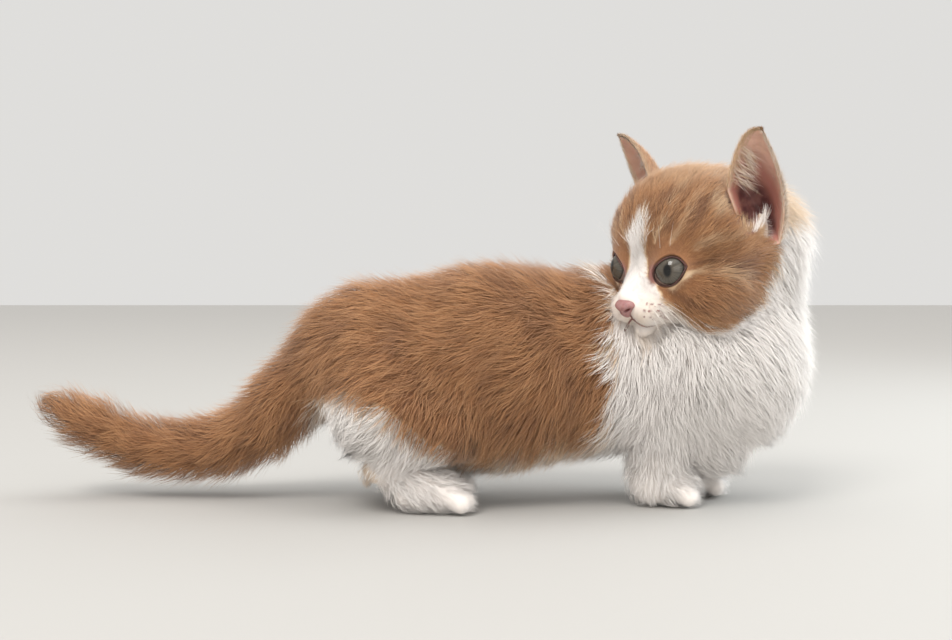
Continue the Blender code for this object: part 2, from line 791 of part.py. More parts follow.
def ear(word, side, parts):
    """A thin cupped sheet, open towards the front and outside, that narrows to a rounded tip."""
    across, levels = 10, 8
    base = head_place(-0.0178, side * 0.0272, 0.0110)
    tip = head_place(-0.0131, side * 0.0372, 0.0455)
    inner = head_place(-0.0118, side * 0.0185, 0.0210)
    outer = head_place(-0.0232, side * 0.0310, 0.0000)
    upward = (tip - base).normalized()
    chord = (outer - inner).normalized()
    back = upward.cross(chord).normalized() * side
    bm = bmesh.new()
    rows = []
    for level in range(levels + 1):
        share = level / levels * (1 + EAR_SUNK) - EAR_SUNK
        width = EAR_WIDTH / 2 * ear_width(share)
        bow = EAR_BASE_BOW + (EAR_TIP_BOW - EAR_BASE_BOW) * share
        middle = base.lerp(tip, share) + back * (EAR_CUP * math.sin(math.pi * share))
        lean = chord * (EAR_BULGE * math.sin(math.pi * max(share, 0)))
        row = []
        for i in range(across + 1):
            turn = bow * (2 * i / across - 1)
            sideways = chord * (math.sin(turn) / math.sin(bow) * width)
            depth = back * ((math.cos(turn) - math.cos(bow)) / math.sin(bow) * width)
            row.append(bm.verts.new(middle + lean + sideways + depth))
        rows.append(row)
    for lower, upper in zip(rows, rows[1:]):
        for i in range(across):
            bm.faces.new((lower[i], lower[i + 1], upper[i + 1], upper[i]))
    obj = mesh_object(f"ear_{word}", bm, parts)
    wall = obj.modifiers.new("Wall", "SOLIDIFY")
    wall.thickness = EAR_WALL
    wall.offset = 0
    wall.use_even_offset = False
    applied(obj)
    return closed_outwards(obj)


def ear_width(share):
    """The ear's width along its height, as a share of the width at its base."""
    return max(0.10, (1.0 - min(max(share, 0), 1) ** 3) ** 0.8)


def closed_outwards(obj):
    bm = bmesh.new()
    bm.from_mesh(obj.data)
    outwards(bm).to_mesh(obj.data)
    bm.free()
    return obj


def outwards(bm):
    """Turns a closed shape's faces outwards."""
    bmesh.ops.recalc_face_normals(bm, faces=bm.faces)
    if bm.calc_volume(signed=True) < 0:
        bmesh.ops.reverse_faces(bm, faces=bm.faces)
    return bm


def grown(obj, growth, collection):
    """A copy whose surface stands out by growth, for cutting what meets it face to face."""
    copy = as_cutter(copy_of(obj, f"{obj.name}_grown", collection))
    push = copy.modifiers.new("Grow", "DISPLACE")
    push.strength = growth
    push.mid_level = 0
    return applied(copy)


def paint(obj, name, colour, roughness):
    material = bpy.data.materials.get(name) or bpy.data.materials.new(name)
    material.use_nodes = True
    shader = material.node_tree.nodes["Principled BSDF"]
    shader.inputs["Base Color"].default_value = (*colour, 1)
    shader.inputs["Roughness"].default_value = roughness
    shader.inputs["Metallic"].default_value = 0
    obj.data.materials.clear()
    obj.data.materials.append(material)
    obj.data.shade_smooth()


def stand_on_origin(objects):
    """Puts the middle of the whole cat's footprint at the origin, with the floor at zero."""
    corners = np.concatenate([points_of(obj.data) for obj in objects])
    low, high = corners.min(0), corners.max(0)
    shift = Vector((-(low[0] + high[0]) / 2, -(low[1] + high[1]) / 2, -low[2]))
    for obj in objects:
        obj.data.transform(Matrix.Translation(shift))


def clear_scene():
    for obj in list(bpy.data.objects):
        bpy.data.objects.remove(obj)


def collection_named(name):
    made = bpy.data.collections.new(name)
    bpy.context.scene.collection.children.link(made)
    return made


def main():
    clear_scene()
    parts, cutters = collection_named("Munchkin_cat"), collection_named("Cutters")
    body = torso_bones() + tail_bones()
    for side in (-1, 1):
        body += hind_leg_bones(side) + fore_leg_bones(side)
    groups = [(head_bones(), FACE_BLEND), (body, BODY_BLEND)]

    whole = flesh("torso", head_bones() + body, groups, BODY_VOXEL, BODY_TRIANGLES, parts)
    fine = flesh("head_fine", head_bones() + neck_bones(), groups, HEAD_VOXEL, HEAD_TRIANGLES * 2, parts)
    boolean(whole, "DIFFERENCE", cutter("floor", slab((-0.4, -0.3, -0.1), (0.4, 0.3, 0.0)), cutters))
    merge_soles(whole)
    finer = ["head", "neck"]
    nodes = part_whole(fine, parts, cutters, finer)
    bpy.data.objects.remove(fine)
    for name in finer:
        boolean(whole, "DIFFERENCE", cutter(f"{name}_cutter", regions()[name], cutters, growth=GAP))
    largest_body(whole)
    nodes.update(part_whole(whole, parts, cutters, [name for name in regions() if name not in finer]))
    nodes["torso"] = whole
    thin_out(nodes["neck"], NECK_TRIANGLES)
    add_locks(nodes)

    head = nodes["head"]
    thin_out(head, HEAD_TRIANGLES)
    nodes["nose"] = nose(parts, cutters)
    seat = grown(nodes["nose"], GAP, cutters)
    boolean(head, "DIFFERENCE", seat)
    cut_face(head, cutters)
    largest_body(head)
    for word, side in (("right", -1), ("left", 1)):
        nodes[f"eye_{word}"] = ball(f"eye_{word}", eye_centre(side), EYE_RADIUS, parts, subdivisions=2)
        nodes[f"ear_{word}"] = ear(word, side, parts)
        for neighbour in (head, nodes["neck"]):
            boolean(nodes[f"ear_{word}"], "DIFFERENCE", grown(neighbour, EAR_CLEARANCE, cutters))
        largest_body(nodes[f"ear_{word}"])

    white, ginger, bare, iris = (0.72, 0.66, 0.61), (0.33, 0.17, 0.08), (0.46, 0.20, 0.20), (0.11, 0.09, 0.07)
    for name, obj in nodes.items():
        if name.startswith("eye"):
            paint(obj, "eye", iris, 0.1)
        elif name == "nose":
            paint(obj, "nose_leather", bare, 0.5)
        elif name.startswith(("fore", "hind_foot", "chest", "neck")):
            paint(obj, "white_coat", white, 0.9)
        else:
            paint(obj, "ginger_coat", ginger, 0.9)
    stand_on_origin(list(nodes.values()))


main()
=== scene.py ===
"""Looks of the munchkin kitten: one skin under a dense coat of separate tufts.

Everything is made at the places that part.py gives the cat before it centres it on the origin,
and is moved by SHIFT at the end. Metres. +X runs from the tail to the chest, +Y to the cat's left.
"""

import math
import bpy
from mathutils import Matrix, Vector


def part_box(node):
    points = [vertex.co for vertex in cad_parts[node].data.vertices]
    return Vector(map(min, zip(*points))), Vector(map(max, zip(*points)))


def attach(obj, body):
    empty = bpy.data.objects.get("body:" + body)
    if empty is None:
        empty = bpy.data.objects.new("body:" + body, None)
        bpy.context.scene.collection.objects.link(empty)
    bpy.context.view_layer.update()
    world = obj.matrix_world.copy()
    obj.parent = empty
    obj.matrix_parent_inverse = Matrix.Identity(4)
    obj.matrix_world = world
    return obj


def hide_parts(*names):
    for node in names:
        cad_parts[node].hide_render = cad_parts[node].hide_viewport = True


bl_info = {
    "name": "Munchkin Kitten Looks",
    "version": (1, 0, 0),
    "blender": (4, 5, 0),
    "location": "3D View > Sidebar > Kitten",
    "description": "Skin, coat, ears, eyes, nose and whiskers of a still munchkin kitten",
    "category": "Add Mesh",
}

import bmesh
import bpy
import numpy as np
from mathutils import Matrix, Vector
from mathutils.kdtree import KDTree

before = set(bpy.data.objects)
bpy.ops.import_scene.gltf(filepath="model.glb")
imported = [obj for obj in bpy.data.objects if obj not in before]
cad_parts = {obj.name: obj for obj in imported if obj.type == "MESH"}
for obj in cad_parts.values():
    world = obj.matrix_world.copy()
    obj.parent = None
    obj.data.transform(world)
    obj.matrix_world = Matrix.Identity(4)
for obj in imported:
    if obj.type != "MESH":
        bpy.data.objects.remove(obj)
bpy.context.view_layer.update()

FLESH_NODES = [
    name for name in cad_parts
    if not name.startswith(("eye", "nose", "ear"))
]

# Proportions, the same as the solids'
REAR_MIDLINE = 0.003
FRONT_MIDLINE = 0.010
HIND_STANCE = 0.021
FORE_STANCE = 0.0122
FORE_PLACE = 0.079
FORE_STEP = 0.0165
LEG_FLATTENING = 0.88
BACK_HEIGHT = 0.099
HEAD_CENTRE = np.array((0.0805, -0.014, 0.107))
HEAD_TURN = math.radians(142)
HEAD_NOD = math.radians(12)
HEAD_ROLL = math.radians(4)
EYE_RADIUS = 0.0081
EYE_SPACING = 0.0226
LID = 0.0008
FACE_BLEND = 0.004
BODY_BLEND = 0.013
FOOT_BLEND = 0.14
FOOT_HEIGHT = 0.014
FACE_START = 0.014
FACE_SHARE = 0.08
NOSE_PLACE = (0.0305, 0.0, -0.0160)

EAR_HOLLOW = 0.0102

SKIN_VOXEL = 0.0017
SLOPE_STEP = 2e-4
SHORT_TUFT = 0.0072
OWN_SHADE = 0.48
CHEST_PARTING = 0.0

# Kinds of place on the body
HEAD, NECK, TRUNK, TAIL, HIND_LEG, HIND_FOOT, FORE_LEG, FORE_PAW = range(8)


def head_axes():
    """Unit vectors of the turned head: forward along the nose, to its left, and up."""
    level = np.array((math.cos(HEAD_TURN), -math.sin(HEAD_TURN), 0.0))
    level_left = np.array((-level[1], level[0], 0.0))
    upright = np.array((0.0, 0.0, 1.0))
    forward = level * math.cos(HEAD_NOD) - upright * math.sin(HEAD_NOD)
    level_up = level * math.sin(HEAD_NOD) + upright * math.cos(HEAD_NOD)
    left = level_left * math.cos(HEAD_ROLL) - level_up * math.sin(HEAD_ROLL)
    up = level_up * math.cos(HEAD_ROLL) + level_left * math.sin(HEAD_ROLL)
    return forward, left, up


FORWARD, LEFT, UP = head_axes()
HEAD_FRAME = np.array((FORWARD, LEFT, UP))


def head_place(forward, left, up):
    """A point given along the head's own axes from the middle of the skull."""
    return HEAD_CENTRE + np.array((forward, left, up)) @ HEAD_FRAME


def head_way(forward, left, up):
    return unit(np.array((forward, left, up)) @ HEAD_FRAME)


def head_local(points):
    """Points in the head's own axes: forward, left and up of the middle of the skull."""
    return (points - HEAD_CENTRE) @ HEAD_FRAME.T


def unit(vectors):
    return vectors / np.maximum(np.linalg.norm(vectors, axis=-1, keepdims=True), 1e-12)


def eye_centre(side):
    return head_place(0.0135, side * EYE_SPACING / 2, -0.0048)


def eye_facing(side):
    return head_way(0.90, side * 0.43, 0.04)


def hollow_centre(side):
    """The middle of the hollow that each ear opens into."""
    return head_place(-0.0160, side * 0.0268, 0.0150)


SHIFT = np.array((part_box("eye_left")[0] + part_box("eye_left")[1]) / 2) - eye_centre(1)

TAIL_LINE = np.array([
    (-0.064, 0.004, 0.063),
    (-0.079, 0.009, 0.0460),
    (-0.092, 0.014, 0.0320),
    (-0.108, 0.017, 0.0235),
    (-0.126, 0.019, 0.0205),
    (-0.146, 0.019, 0.0225),
    (-0.164, 0.018, 0.0300),
    (-0.180, 0.016, 0.0390),
])


class Flesh:
    """The smooth union of rounded bones that the solids' core and the skin under it share."""

    def __init__(self):
        self.rows = []
        self.add_head()
        self.add_trunk()
        self.add_tail()
        for side in (-1, 1):
            self.add_hind_leg(side)
            self.add_fore_leg(side)
        self.kinds = np.array([row[0] for row in self.rows])

    def bone(self, kind, start, end, radii, depths, flattening=1.0):
        """A rounded cone, with how deep the skin lies under the coat's dense surface at each end."""
        self.rows.append((kind, np.array(start), np.array(end), radii, depths, flattening))

    def add_head(self):
        at = head_place
        self.bone(HEAD, at(-0.0065, 0, 0.001), at(-0.011, 0, 0.0), (0.030, 0.030), (0.0030, 0.0032))
        self.bone(HEAD, at(0.001, -0.007, 0.003), at(0.001, 0.007, 0.003), (0.0185,) * 2, (0.0020,) * 2)
        self.bone(HEAD, at(0.012, 0, -0.004), at(0.0270, 0, -0.0140), (0.0092, 0.0056), (0.0012, 0.0007))
        self.bone(HEAD, at(0.006, 0, -0.016), at(0.0165, 0, -0.0205), (0.0145, 0.0090), (0.0022, 0.0013))
        self.bone(HEAD, at(0.0165, 0, -0.0275), at(0.0215, 0, -0.0280), (0.0058, 0.0050), (0.0012, 0.0010))
        for s in (-1, 1):
            cheek, jowl = at(-0.001, s * 0.0175, -0.0120), at(0.006, s * 0.0150, -0.0160)
            pad_back, pad = at(0.014, s * 0.0080, -0.0175), at(0.0245, s * 0.0060, -0.0195)
            brow, temple = at(0.0125, s * 0.0105, 0.0040), at(-0.004, s * 0.0190, 0.0085)
            self.bone(HEAD, cheek, jowl, (0.0150, 0.0142), (0.0042, 0.0036))
            self.bone(HEAD, pad_back, pad, (0.0088, 0.0066), (0.0012, 0.0008))
            self.bone(HEAD, brow, temple, (0.0076, 0.0120), (0.0013, 0.0026))
            self.bone(HEAD, eye_centre(s), eye_centre(s), (EYE_RADIUS + LID,) * 2, (0.0, 0.0))

    def add_trunk(self):
        rump, loin = (-0.0435, REAR_MIDLINE, 0.063), (0.006, 0.004, 0.05725)
        withers, breast, nape = (0.056, 0.006, 0.061), (0.105, 0.009, 0.061), (0.1095, 0.004, 0.109)
        deep = (0.0048, 0.0048)
        self.bone(TRUNK, rump, loin, (0.031, 0.04075), deep, 0.8144)
        self.bone(TRUNK, loin, withers, (0.04075, 0.037), deep, 0.8144)
        self.bone(NECK, withers, breast, (0.035, 0.032), deep, 0.86)
        self.bone(NECK, (0.101, 0.009, 0.046), (0.098, 0.009, 0.034), (0.028, 0.021), deep)
        self.bone(NECK, (0.088, -0.010, 0.064), (0.102, -0.006, 0.064), (0.024, 0.024), deep)
        self.bone(NECK, breast, nape, (0.032, 0.029), deep, 0.90)
        self.bone(NECK, nape, head_place(-0.012, 0, 0), (0.025, 0.026), (0.0048, 0.0040))

    def add_tail(self):
        last = len(TAIL_LINE) - 1
        for i in range(last):
            radii = [0.0122 * (1.08 - 0.40 * ((i + k) / last) ** 2.2) for k in (0, 1)]
            self.bone(TAIL, TAIL_LINE[i], TAIL_LINE[i + 1], radii, (0.0046, 0.0044))

    def add_hind_leg(self, side):
        y = REAR_MIDLINE + side * HIND_STANCE
        hip, thigh = (-0.036, REAR_MIDLINE + side * 0.014, 0.053), (-0.037, y, 0.042)
        knee, hock, ball = (-0.014, y, 0.034), (-0.040, y, 0.0175), (-0.012, y, 0.0085)
        self.bone(HIND_LEG, hip, thigh, (0.024, 0.019), (0.0045, 0.0040))
        self.bone(HIND_LEG, thigh, knee, (0.019, 0.014), (0.0040, 0.0034))
        self.bone(HIND_LEG, knee, hock, (0.013, 0.0075), (0.0034, 0.0024))
        self.bone(HIND_FOOT, hock, ball, (0.0074, 0.0082), (0.0022, 0.0020))
        self.bone(HIND_FOOT, (-0.028, y, 0.0082), (-0.013, y, 0.0074), (0.0076, 0.0082), (0.0020,) * 2)
        self.add_toes(HIND_FOOT, ball, 0.0082, 0.010)

    def add_fore_leg(self, side):
        y = FRONT_MIDLINE + side * FORE_STANCE
        x = FORE_PLACE if side < 0 else FORE_PLACE + FORE_STEP
        shoulder, wrist = (x + 0.004, FRONT_MIDLINE + side * 0.012, 0.050), (x - 0.003, y, 0.019)
        heel, ball = (x - 0.0055, y, 0.0098), (x + 0.004, y, 0.0090)
        self.bone(FORE_LEG, shoulder, wrist, (0.019, 0.0128), (0.0040, 0.0030), LEG_FLATTENING)
        self.bone(FORE_LEG, wrist, heel, (0.0128, 0.0108), (0.0030, 0.0024), LEG_FLATTENING)
        self.bone(FORE_PAW, heel, ball, (0.0108, 0.0098), (0.0024, 0.0022), LEG_FLATTENING)
        self.add_toes(FORE_PAW, ball, 0.0066, 0.0105)

    def add_toes(self, kind, ball, reach, width):
        for share in (-1.0, -0.36, 0.36, 1.0):
            root = (ball[0] - 0.002, ball[1] + share * width * 0.34, 0.0088)
            tip = (ball[0] + reach * (1.0 - 0.28 * abs(share)), ball[1] + share * width * 0.62, 0.0050)
            self.bone(kind, root, tip, (0.0056, 0.0050), (0.0012, 0.0010))

    def distance(self, points, row, sunk):
        _, start, end, radii, depths, flattening = row
        along = end - start
        share = np.clip(((points - start) @ along) / max(float(along @ along), 1e-12), 0, 1)
        away = points - (start + share[:, None] * along)
        away[:, 1] /= flattening
        ends = [radius - sunk * depth for radius, depth in zip(radii, depths)]
        return np.sqrt((away * away).sum(1)) - (ends[0] + (ends[1] - ends[0]) * share)

    def value(self, points, sunk=1.0):
        """Signed distance, about: to the skin where sunk is 1, and to the coat's dense surface at 0."""
        rise = np.clip((points[:, 2] - FOOT_HEIGHT) / (2 * FOOT_HEIGHT), 0, 1)
        share = FOOT_BLEND + (1 - FOOT_BLEND) * rise
        ahead = (points - HEAD_CENTRE) @ FORWARD
        behind_face = np.clip((FACE_START - ahead) / FACE_START, FACE_SHARE, 1)
        groups = []
        for is_head, blend in ((True, FACE_BLEND), (False, BODY_BLEND)):
            total = None
            for row in self.rows:
                if (row[0] == HEAD) == is_head:
                    one = self.distance(points, row, sunk)
                    total = one if total is None else smooth_minimum(total, one, blend * share)
            groups.append(total)
        total = smooth_minimum(*groups, BODY_BLEND * behind_face)
        if sunk:
            for side in (-1, 1):
                inside = EAR_HOLLOW - np.linalg.norm(points - hollow_centre(side), axis=1)
                total = -smooth_minimum(-total, -inside, 0.003)
        return total

    def head_share(self, points):
        """1 where the head is nearer than the body, 0 where the body is, and smooth between."""
        near = []
        for is_head in (True, False):
            rows = [row for row in self.rows if (row[0] == HEAD) == is_head]
            near.append(np.min([self.distance(points, row, 0.0) for row in rows], axis=0))
        return ramp(near[1] - near[0], -0.0050, 0.0050)

    def slope(self, points, sunk=1.0):
        """The value and its gradient."""
        value = self.value(points, sunk)
        gradient = np.empty_like(points)
        for axis in range(3):
            moved = points.copy()
            moved[:, axis] += SLOPE_STEP
            gradient[:, axis] = (self.value(moved, sunk) - value) / SLOPE_STEP
        return value, gradient

    def kind_at(self, points):
        """The kind of the nearest bone."""
        best = np.full(len(points), 1e9)
        kind = np.zeros(len(points), np.int64)
        for row in self.rows:
            one = self.distance(points, row, 0.0)
            nearer = one < best
            best[nearer] = one[nearer]
            kind[nearer] = row[0]
        return kind


def smooth_minimum(first, second, blend):
    near = np.maximum(blend - np.abs(first - second), 0) / blend
    return np.minimum(first, second) - near * near * blend / 4


def ramp(values, low, high):
    """0 below low, 1 above high and smooth between."""
    share = np.clip((values - low) / (high - low), 0, 1)
    return share * share * (3 - 2 * share)


WAVES = np.random.default_rng(5).normal(size=(14, 3))
PHASES = np.random.default_rng(6).uniform(0, 2 * math.pi, 14)


def ripple(points, size, turn=0):
    """Smooth noise between about -1 and 1, whose features are about size across."""
    waves = np.roll(WAVES, turn, axis=0)[:7]
    phases = np.roll(PHASES, turn)[:7]
    return np.sin(points @ waves.T * (2.2 / size) + phases).sum(1) / 3.2


def settings():
    return bpy.context.scene.kitten


# Markings

BLAZE_HEIGHTS = (-0.040, -0.030, -0.0262, -0.0218, -0.0184, -0.0130, -0.0085, -0.006, 0.0, 0.0055, 0.0095, 0.0125, 0.015, 0.018)
BLAZE_WIDTHS = (0.060, 0.034, 0.0245, 0.0185, 0.0145, 0.0108, 0.0078, 0.0060, 0.0048, 0.0039, 0.0029, 0.0020, 0.0009, -0.002)
BLAZE_LEAN = ((0.002, 0.012, 0.017), (-0.0003, 0.0012, 0.0010))

# Strokes of the face's pattern: from (side, up) to (side, up), half a width, all in mm, and how strong
DARK_STROKES = (
    (4.7, 9.4, 6.4, 17.7, 0.9, 0.85), (12.0, 9.9, 12.8, 13.6, 0.9, 0.80), (8.6, 16.6, 8.2, 22.1, 0.8, 0.55),
    (18.9, 10.2, 18.7, 17.8, 1.5, 0.80), (12.3, 18.4, 11.3, 24.3, 0.9, 0.55), (17.9, 25.7, 18.3, 22.0, 0.8, 0.55),
    (25.6, 19.5, 29.1, 15.0, 1.3, 0.80), (21.3, -2.1, 27.0, -5.4, 0.7, 0.70), (27.0, -5.4, 32.6, -10.0, 1.9, 0.90),
    (13.7, -12.2, 19.9, -15.6, 1.0, 0.55), (19.9, -15.6, 25.7, -17.8, 0.9, 0.45), (25.6, -18.4, 26.2, -23.5, 0.9, 0.75),
)
PALE_STROKES = (
    (7.9, 7.0, 10.1, 12.3, 0.8, 0.45), (14.9, 7.0, 16.1, 14.0, 0.9, 0.32), (16.1, 14.0, 15.7, 20.1, 0.9, 0.28),
    (19.7, 23.2, 24.8, 14.8, 2.4, 0.36), (22.2, 4.3, 29.8, 5.2, 1.9, 0.22), (20.3, -5.5, 14.4, -11.0, 1.0, 0.45),
    (22.6, -5.5, 27.5, -8.9, 1.5, 0.25), (30.5, -15.4, 32.7, -14.9, 2.0, 0.30), (9.6, 17.0, 9.4, 24.0, 0.6, 0.35),
)
RUFF_HEIGHTS = (-0.040, -0.0260, -0.0125, -0.0056, 0.001, 0.008, 0.016)
RUFF_AHEAD = (0.010, 0.0070, -0.0155, -0.0205, -0.0210, -0.0260, -0.0400)
BAND_PLACES = (-0.080, -0.070, -0.066, -0.058, -0.048, -0.038, -0.028, -0.0205, -0.013, 0.000)
BAND_HEIGHTS = (0.030, 0.040, 0.0485, 0.0510, 0.0485, 0.0450, 0.0395, 0.0325, 0.0285, 0.0210)


def markings(points, normals, kinds):
    """How ginger the coat is at each point, from 0 for white to 1, and how dark its tabby streaks are."""
    place = head_local(points)
    ahead, sideways, up = place.T
    wobble = ripple(points, 0.006)
    ragged = ripple(points, 0.0022, 3)

    width = np.interp(up, BLAZE_HEIGHTS, BLAZE_WIDTHS) + 0.0005 * wobble + 0.0004 * ragged
    front = ramp(ahead, -0.006, 0.002)
    off_blaze = np.abs(sideways - np.interp(up, *BLAZE_LEAN))
    white_face = ramp(width - off_blaze, -0.0011, 0.0011) * np.where(up > -0.0235, front, 1)
    throat = ramp(-up + 0.0018 * wobble, 0.0240, 0.0272)
    white_head = np.maximum(white_face, throat)

    line = 0.0555 + 0.0022 * wobble + 0.0016 * ragged
    white_front = ramp(points[:, 0], line - 0.0022, line + 0.0022)
    facing_back = ramp(-0.75 * normals[:, 0] + 0.66 * normals[:, 2], 0.42, 0.62)
    behind_head = np.maximum(ramp(points[:, 0], 0.092, 0.102), ramp(points[:, 1], -0.004, 0.006))
    nape = np.maximum(facing_back * ramp(points[:, 2], 0.092, 0.100) * behind_head,
                      ramp(points[:, 2] + 0.002 * wobble, 0.118, 0.124))
    belly = ramp(-normals[:, 2] + 0.15 * wobble, 0.62, 0.90)
    ginger_body = np.where(points[:, 0] > line - 0.0022, np.maximum(1 - white_front, nape), 1 - 0.8 * belly)

    edge = np.interp(points[:, 0], BAND_PLACES, BAND_HEIGHTS) + 0.0010 * wobble + 0.0008 * ragged
    beside = ramp(np.abs(points[:, 1] - REAR_MIDLINE), 0.006, 0.012)
    white_leg = ramp(edge - points[:, 2], -0.0016, 0.0016) * beside
    tan = ramp(-points[:, 0] - 0.9 * (points[:, 2] - 0.027), 0.047, 0.051) * ramp(0.035 - points[:, 2], 0, 0.005)
    tan *= ramp(points[:, 2], 0.010, 0.015)
    white_leg *= 1 - 0.35 * tan

    ginger = ginger_body
    leg = (kinds == HIND_LEG) | (kinds == HIND_FOOT) | (kinds == TRUNK)
    ginger = np.where(leg, np.minimum(ginger, 1 - white_leg), ginger)
    ginger = np.where(kinds == HIND_FOOT, np.minimum(ginger, 0.15 * tan), ginger)
    ginger = np.where((kinds == FORE_LEG) | (kinds == FORE_PAW), 0.0, ginger)
    ginger = np.where(kinds == TAIL, 1.0, ginger)
    behind = np.interp(up, RUFF_HEIGHTS, RUFF_AHEAD) - ahead + 0.0022 * wobble + 0.0012 * ragged
    ginger_head = np.minimum(1 - white_head, 1 - ramp(behind, -0.0020, 0.0020))
    round_eye = ramp(0.0020 - eye_clearance(points), 0, 0.0020)
    crown = ramp(up + 0.002 * wobble, 0.019, 0.027)
    pale = np.maximum(0.22 * round_eye, 0.26 * crown)
    pale = np.maximum(pale, strokes(PALE_STROKES, sideways, up) * ramp(ahead, -0.008, 0.0) * (1 + 0.35 * ragged))
    ginger_head = ginger_head * (1 - np.clip(pale, 0, 1))
    pads = ramp(-up, 0.010, 0.016) * ramp(ahead, 0.004, 0.014)
    ginger_head = np.maximum(ginger_head, pads * (0.17 + 0.07 * wobble))
    ginger = np.where(kinds == HEAD, ginger_head, ginger)
    ginger = ginger * (1 - 0.62 * ramp(points[:, 0], 0.106, 0.118) * ramp(points[:, 2], 0.105, 0.115))
    return ginger, streaks(place, kinds, points)


def pad_spots():
    """Where the rows of dark whisker roots lie on the lip pads, ahead, to the side and up."""
    rows = []
    for up in (-0.0158, -0.0182, -0.0206):
        for i in range(4):
            rows.append((0.0262 - 0.0026 * i, 0.0088 + 0.0016 * i, up - 0.0004 * i))
    return rows


def strokes(rows, sideways, up):
    """How strongly each point lies on the strokes of the face's pattern, which is alike on both sides."""
    strongest = np.zeros(len(up))
    for *ends, half, strength in rows:
        first, last = np.array(ends).reshape(2, 2) / 1000
        along = last - first
        away = np.stack((np.abs(sideways), up), axis=1) - first
        share = np.clip(away @ along / (along @ along), 0, 1)
        apart = np.linalg.norm(away - share[:, None] * along, axis=1) * 1000
        strongest = np.maximum(strongest, strength * (1 - ramp(apart, 0.45 * half, 1.7 * half)))
    return strongest


def bare_places(points, kinds):
    """How bare and dark the coat is: at the eyes' inner corners and at the whiskers' roots."""
    ahead, sideways, up = head_local(points).T
    side = np.abs(sideways)
    corner = np.hypot((side - 0.0082) / 0.0027, (up + 0.0054 + 0.5 * (0.0082 - side)) / 0.0046)
    bare = 0.52 * (1 - ramp(corner, 0.50, 1.25))
    spots = np.full(len(points), 1.0)
    for _, spot_side, spot_up in pad_spots():
        spots = np.minimum(spots, np.hypot(side - spot_side, up - spot_up))
    bare = np.maximum(bare, 0.72 * (1 - ramp(spots, 0.0002, 0.0005)))
    return bare * (kinds == HEAD) * ramp(ahead, 0.008, 0.012)


def streaks(place, kinds, points):
    """Darker lines up the forehead and back across the cheeks, faint patches on the body, and painted shade low on the
    flanks.
    """
    ahead, sideways, up = place.T
    drift = 0.0007 * ripple(points, 0.004, 8)
    lines = strokes(DARK_STROKES, sideways + drift, up) * ramp(ahead, -0.010, -0.002)
    lines = lines * (1.25 + 0.35 * ripple(points, 0.0022, 6))
    head = lines + 0.30 * np.clip(ripple(points, 0.004, 4), 0, 1)
    body = np.clip(ripple(points * np.array((1.0, 1.0, 0.6)), 0.010, 5), 0, 1)
    # Painted shade: the flanks darken a little towards their bottom
    low = ramp(0.092 - points[:, 2], 0, 0.03) * ramp(points[:, 0], -0.045, -0.01)
    return np.where(kinds == HEAD, np.clip(head, 0, 1), 0.40 * body + 0.16 * low * (kinds != TAIL))


# The lie of the coat

NOSE = head_place(*NOSE_PLACE)


def lie_of(points, kinds, head_share):
    """The way that the coat runs at each point. head_share blends the head's lie into the neck's."""
    low = np.clip((BACK_HEIGHT - points[:, 2]) / BACK_HEIGHT, 0, 1)
    flow = np.stack((0.95 * low**1.4 - 0.95, 0 * low, -0.12 - 0.90 * low), axis=1)

    ahead = np.clip((points[:, 0] - 0.046) / 0.05, 0, 1)
    sideways = (points[:, 1] - FRONT_MIDLINE) / 0.035
    front = np.stack((0.95 * ahead - 0.45, 0.25 * sideways, -0.8 + 0 * low), axis=1)
    mix = ramp(points[:, 0], 0.036, 0.056)[:, None]
    flow = flow * (1 - mix) + front * mix

    thigh = np.stack((-0.55 - 0 * low, 0 * low, -0.75 + 0 * low), axis=1)
    leg_mix = (kinds == HIND_LEG)[:, None] * ramp(0.056 - points[:, 2], 0, 0.02)[:, None]
    flow = flow * (1 - leg_mix) + thigh * leg_mix
    flow = np.where(((kinds == FORE_LEG) & (points[:, 2] < 0.045))[:, None], (0.10, 0, -1.0), flow)
    foot = (kinds == HIND_FOOT) | (kinds == FORE_PAW)
    flow = np.where(foot[:, None], (0.75, 0, -0.45), flow)

    middles = (TAIL_LINE[1:] + TAIL_LINE[:-1]) / 2
    nearest = ((points[:, None] - middles) ** 2).sum(2).argmin(1)
    runs = unit(TAIL_LINE[1:] - TAIL_LINE[:-1])[nearest]
    flow = np.where((kinds == TAIL)[:, None], runs, flow)

    head = unit(points - NOSE)
    place = head_local(points)
    down = ramp(-place[:, 2], 0.002, 0.016)[:, None] * ramp(np.abs(place[:, 1]), 0.006, 0.016)[:, None]
    head = unit(head - 0.75 * down * UP)
    for side in (-1, 1):
        away = points - eye_centre(side)
        near = ramp(0.0150 - np.linalg.norm(away, axis=1), 0, 0.0050)[:, None]
        away -= (away @ eye_facing(side))[:, None] * eye_facing(side)
        head = unit(head + 1.8 * near * unit(away))
    flow = unit(flow)
    return unit(flow + (head - flow) * head_share[:, None])


def surface_way(normals, ways):
    """The part of each direction that runs along the surface."""
    return unit(ways - normals * (ways * normals).sum(1, keepdims=True))


# Meshes from arrays

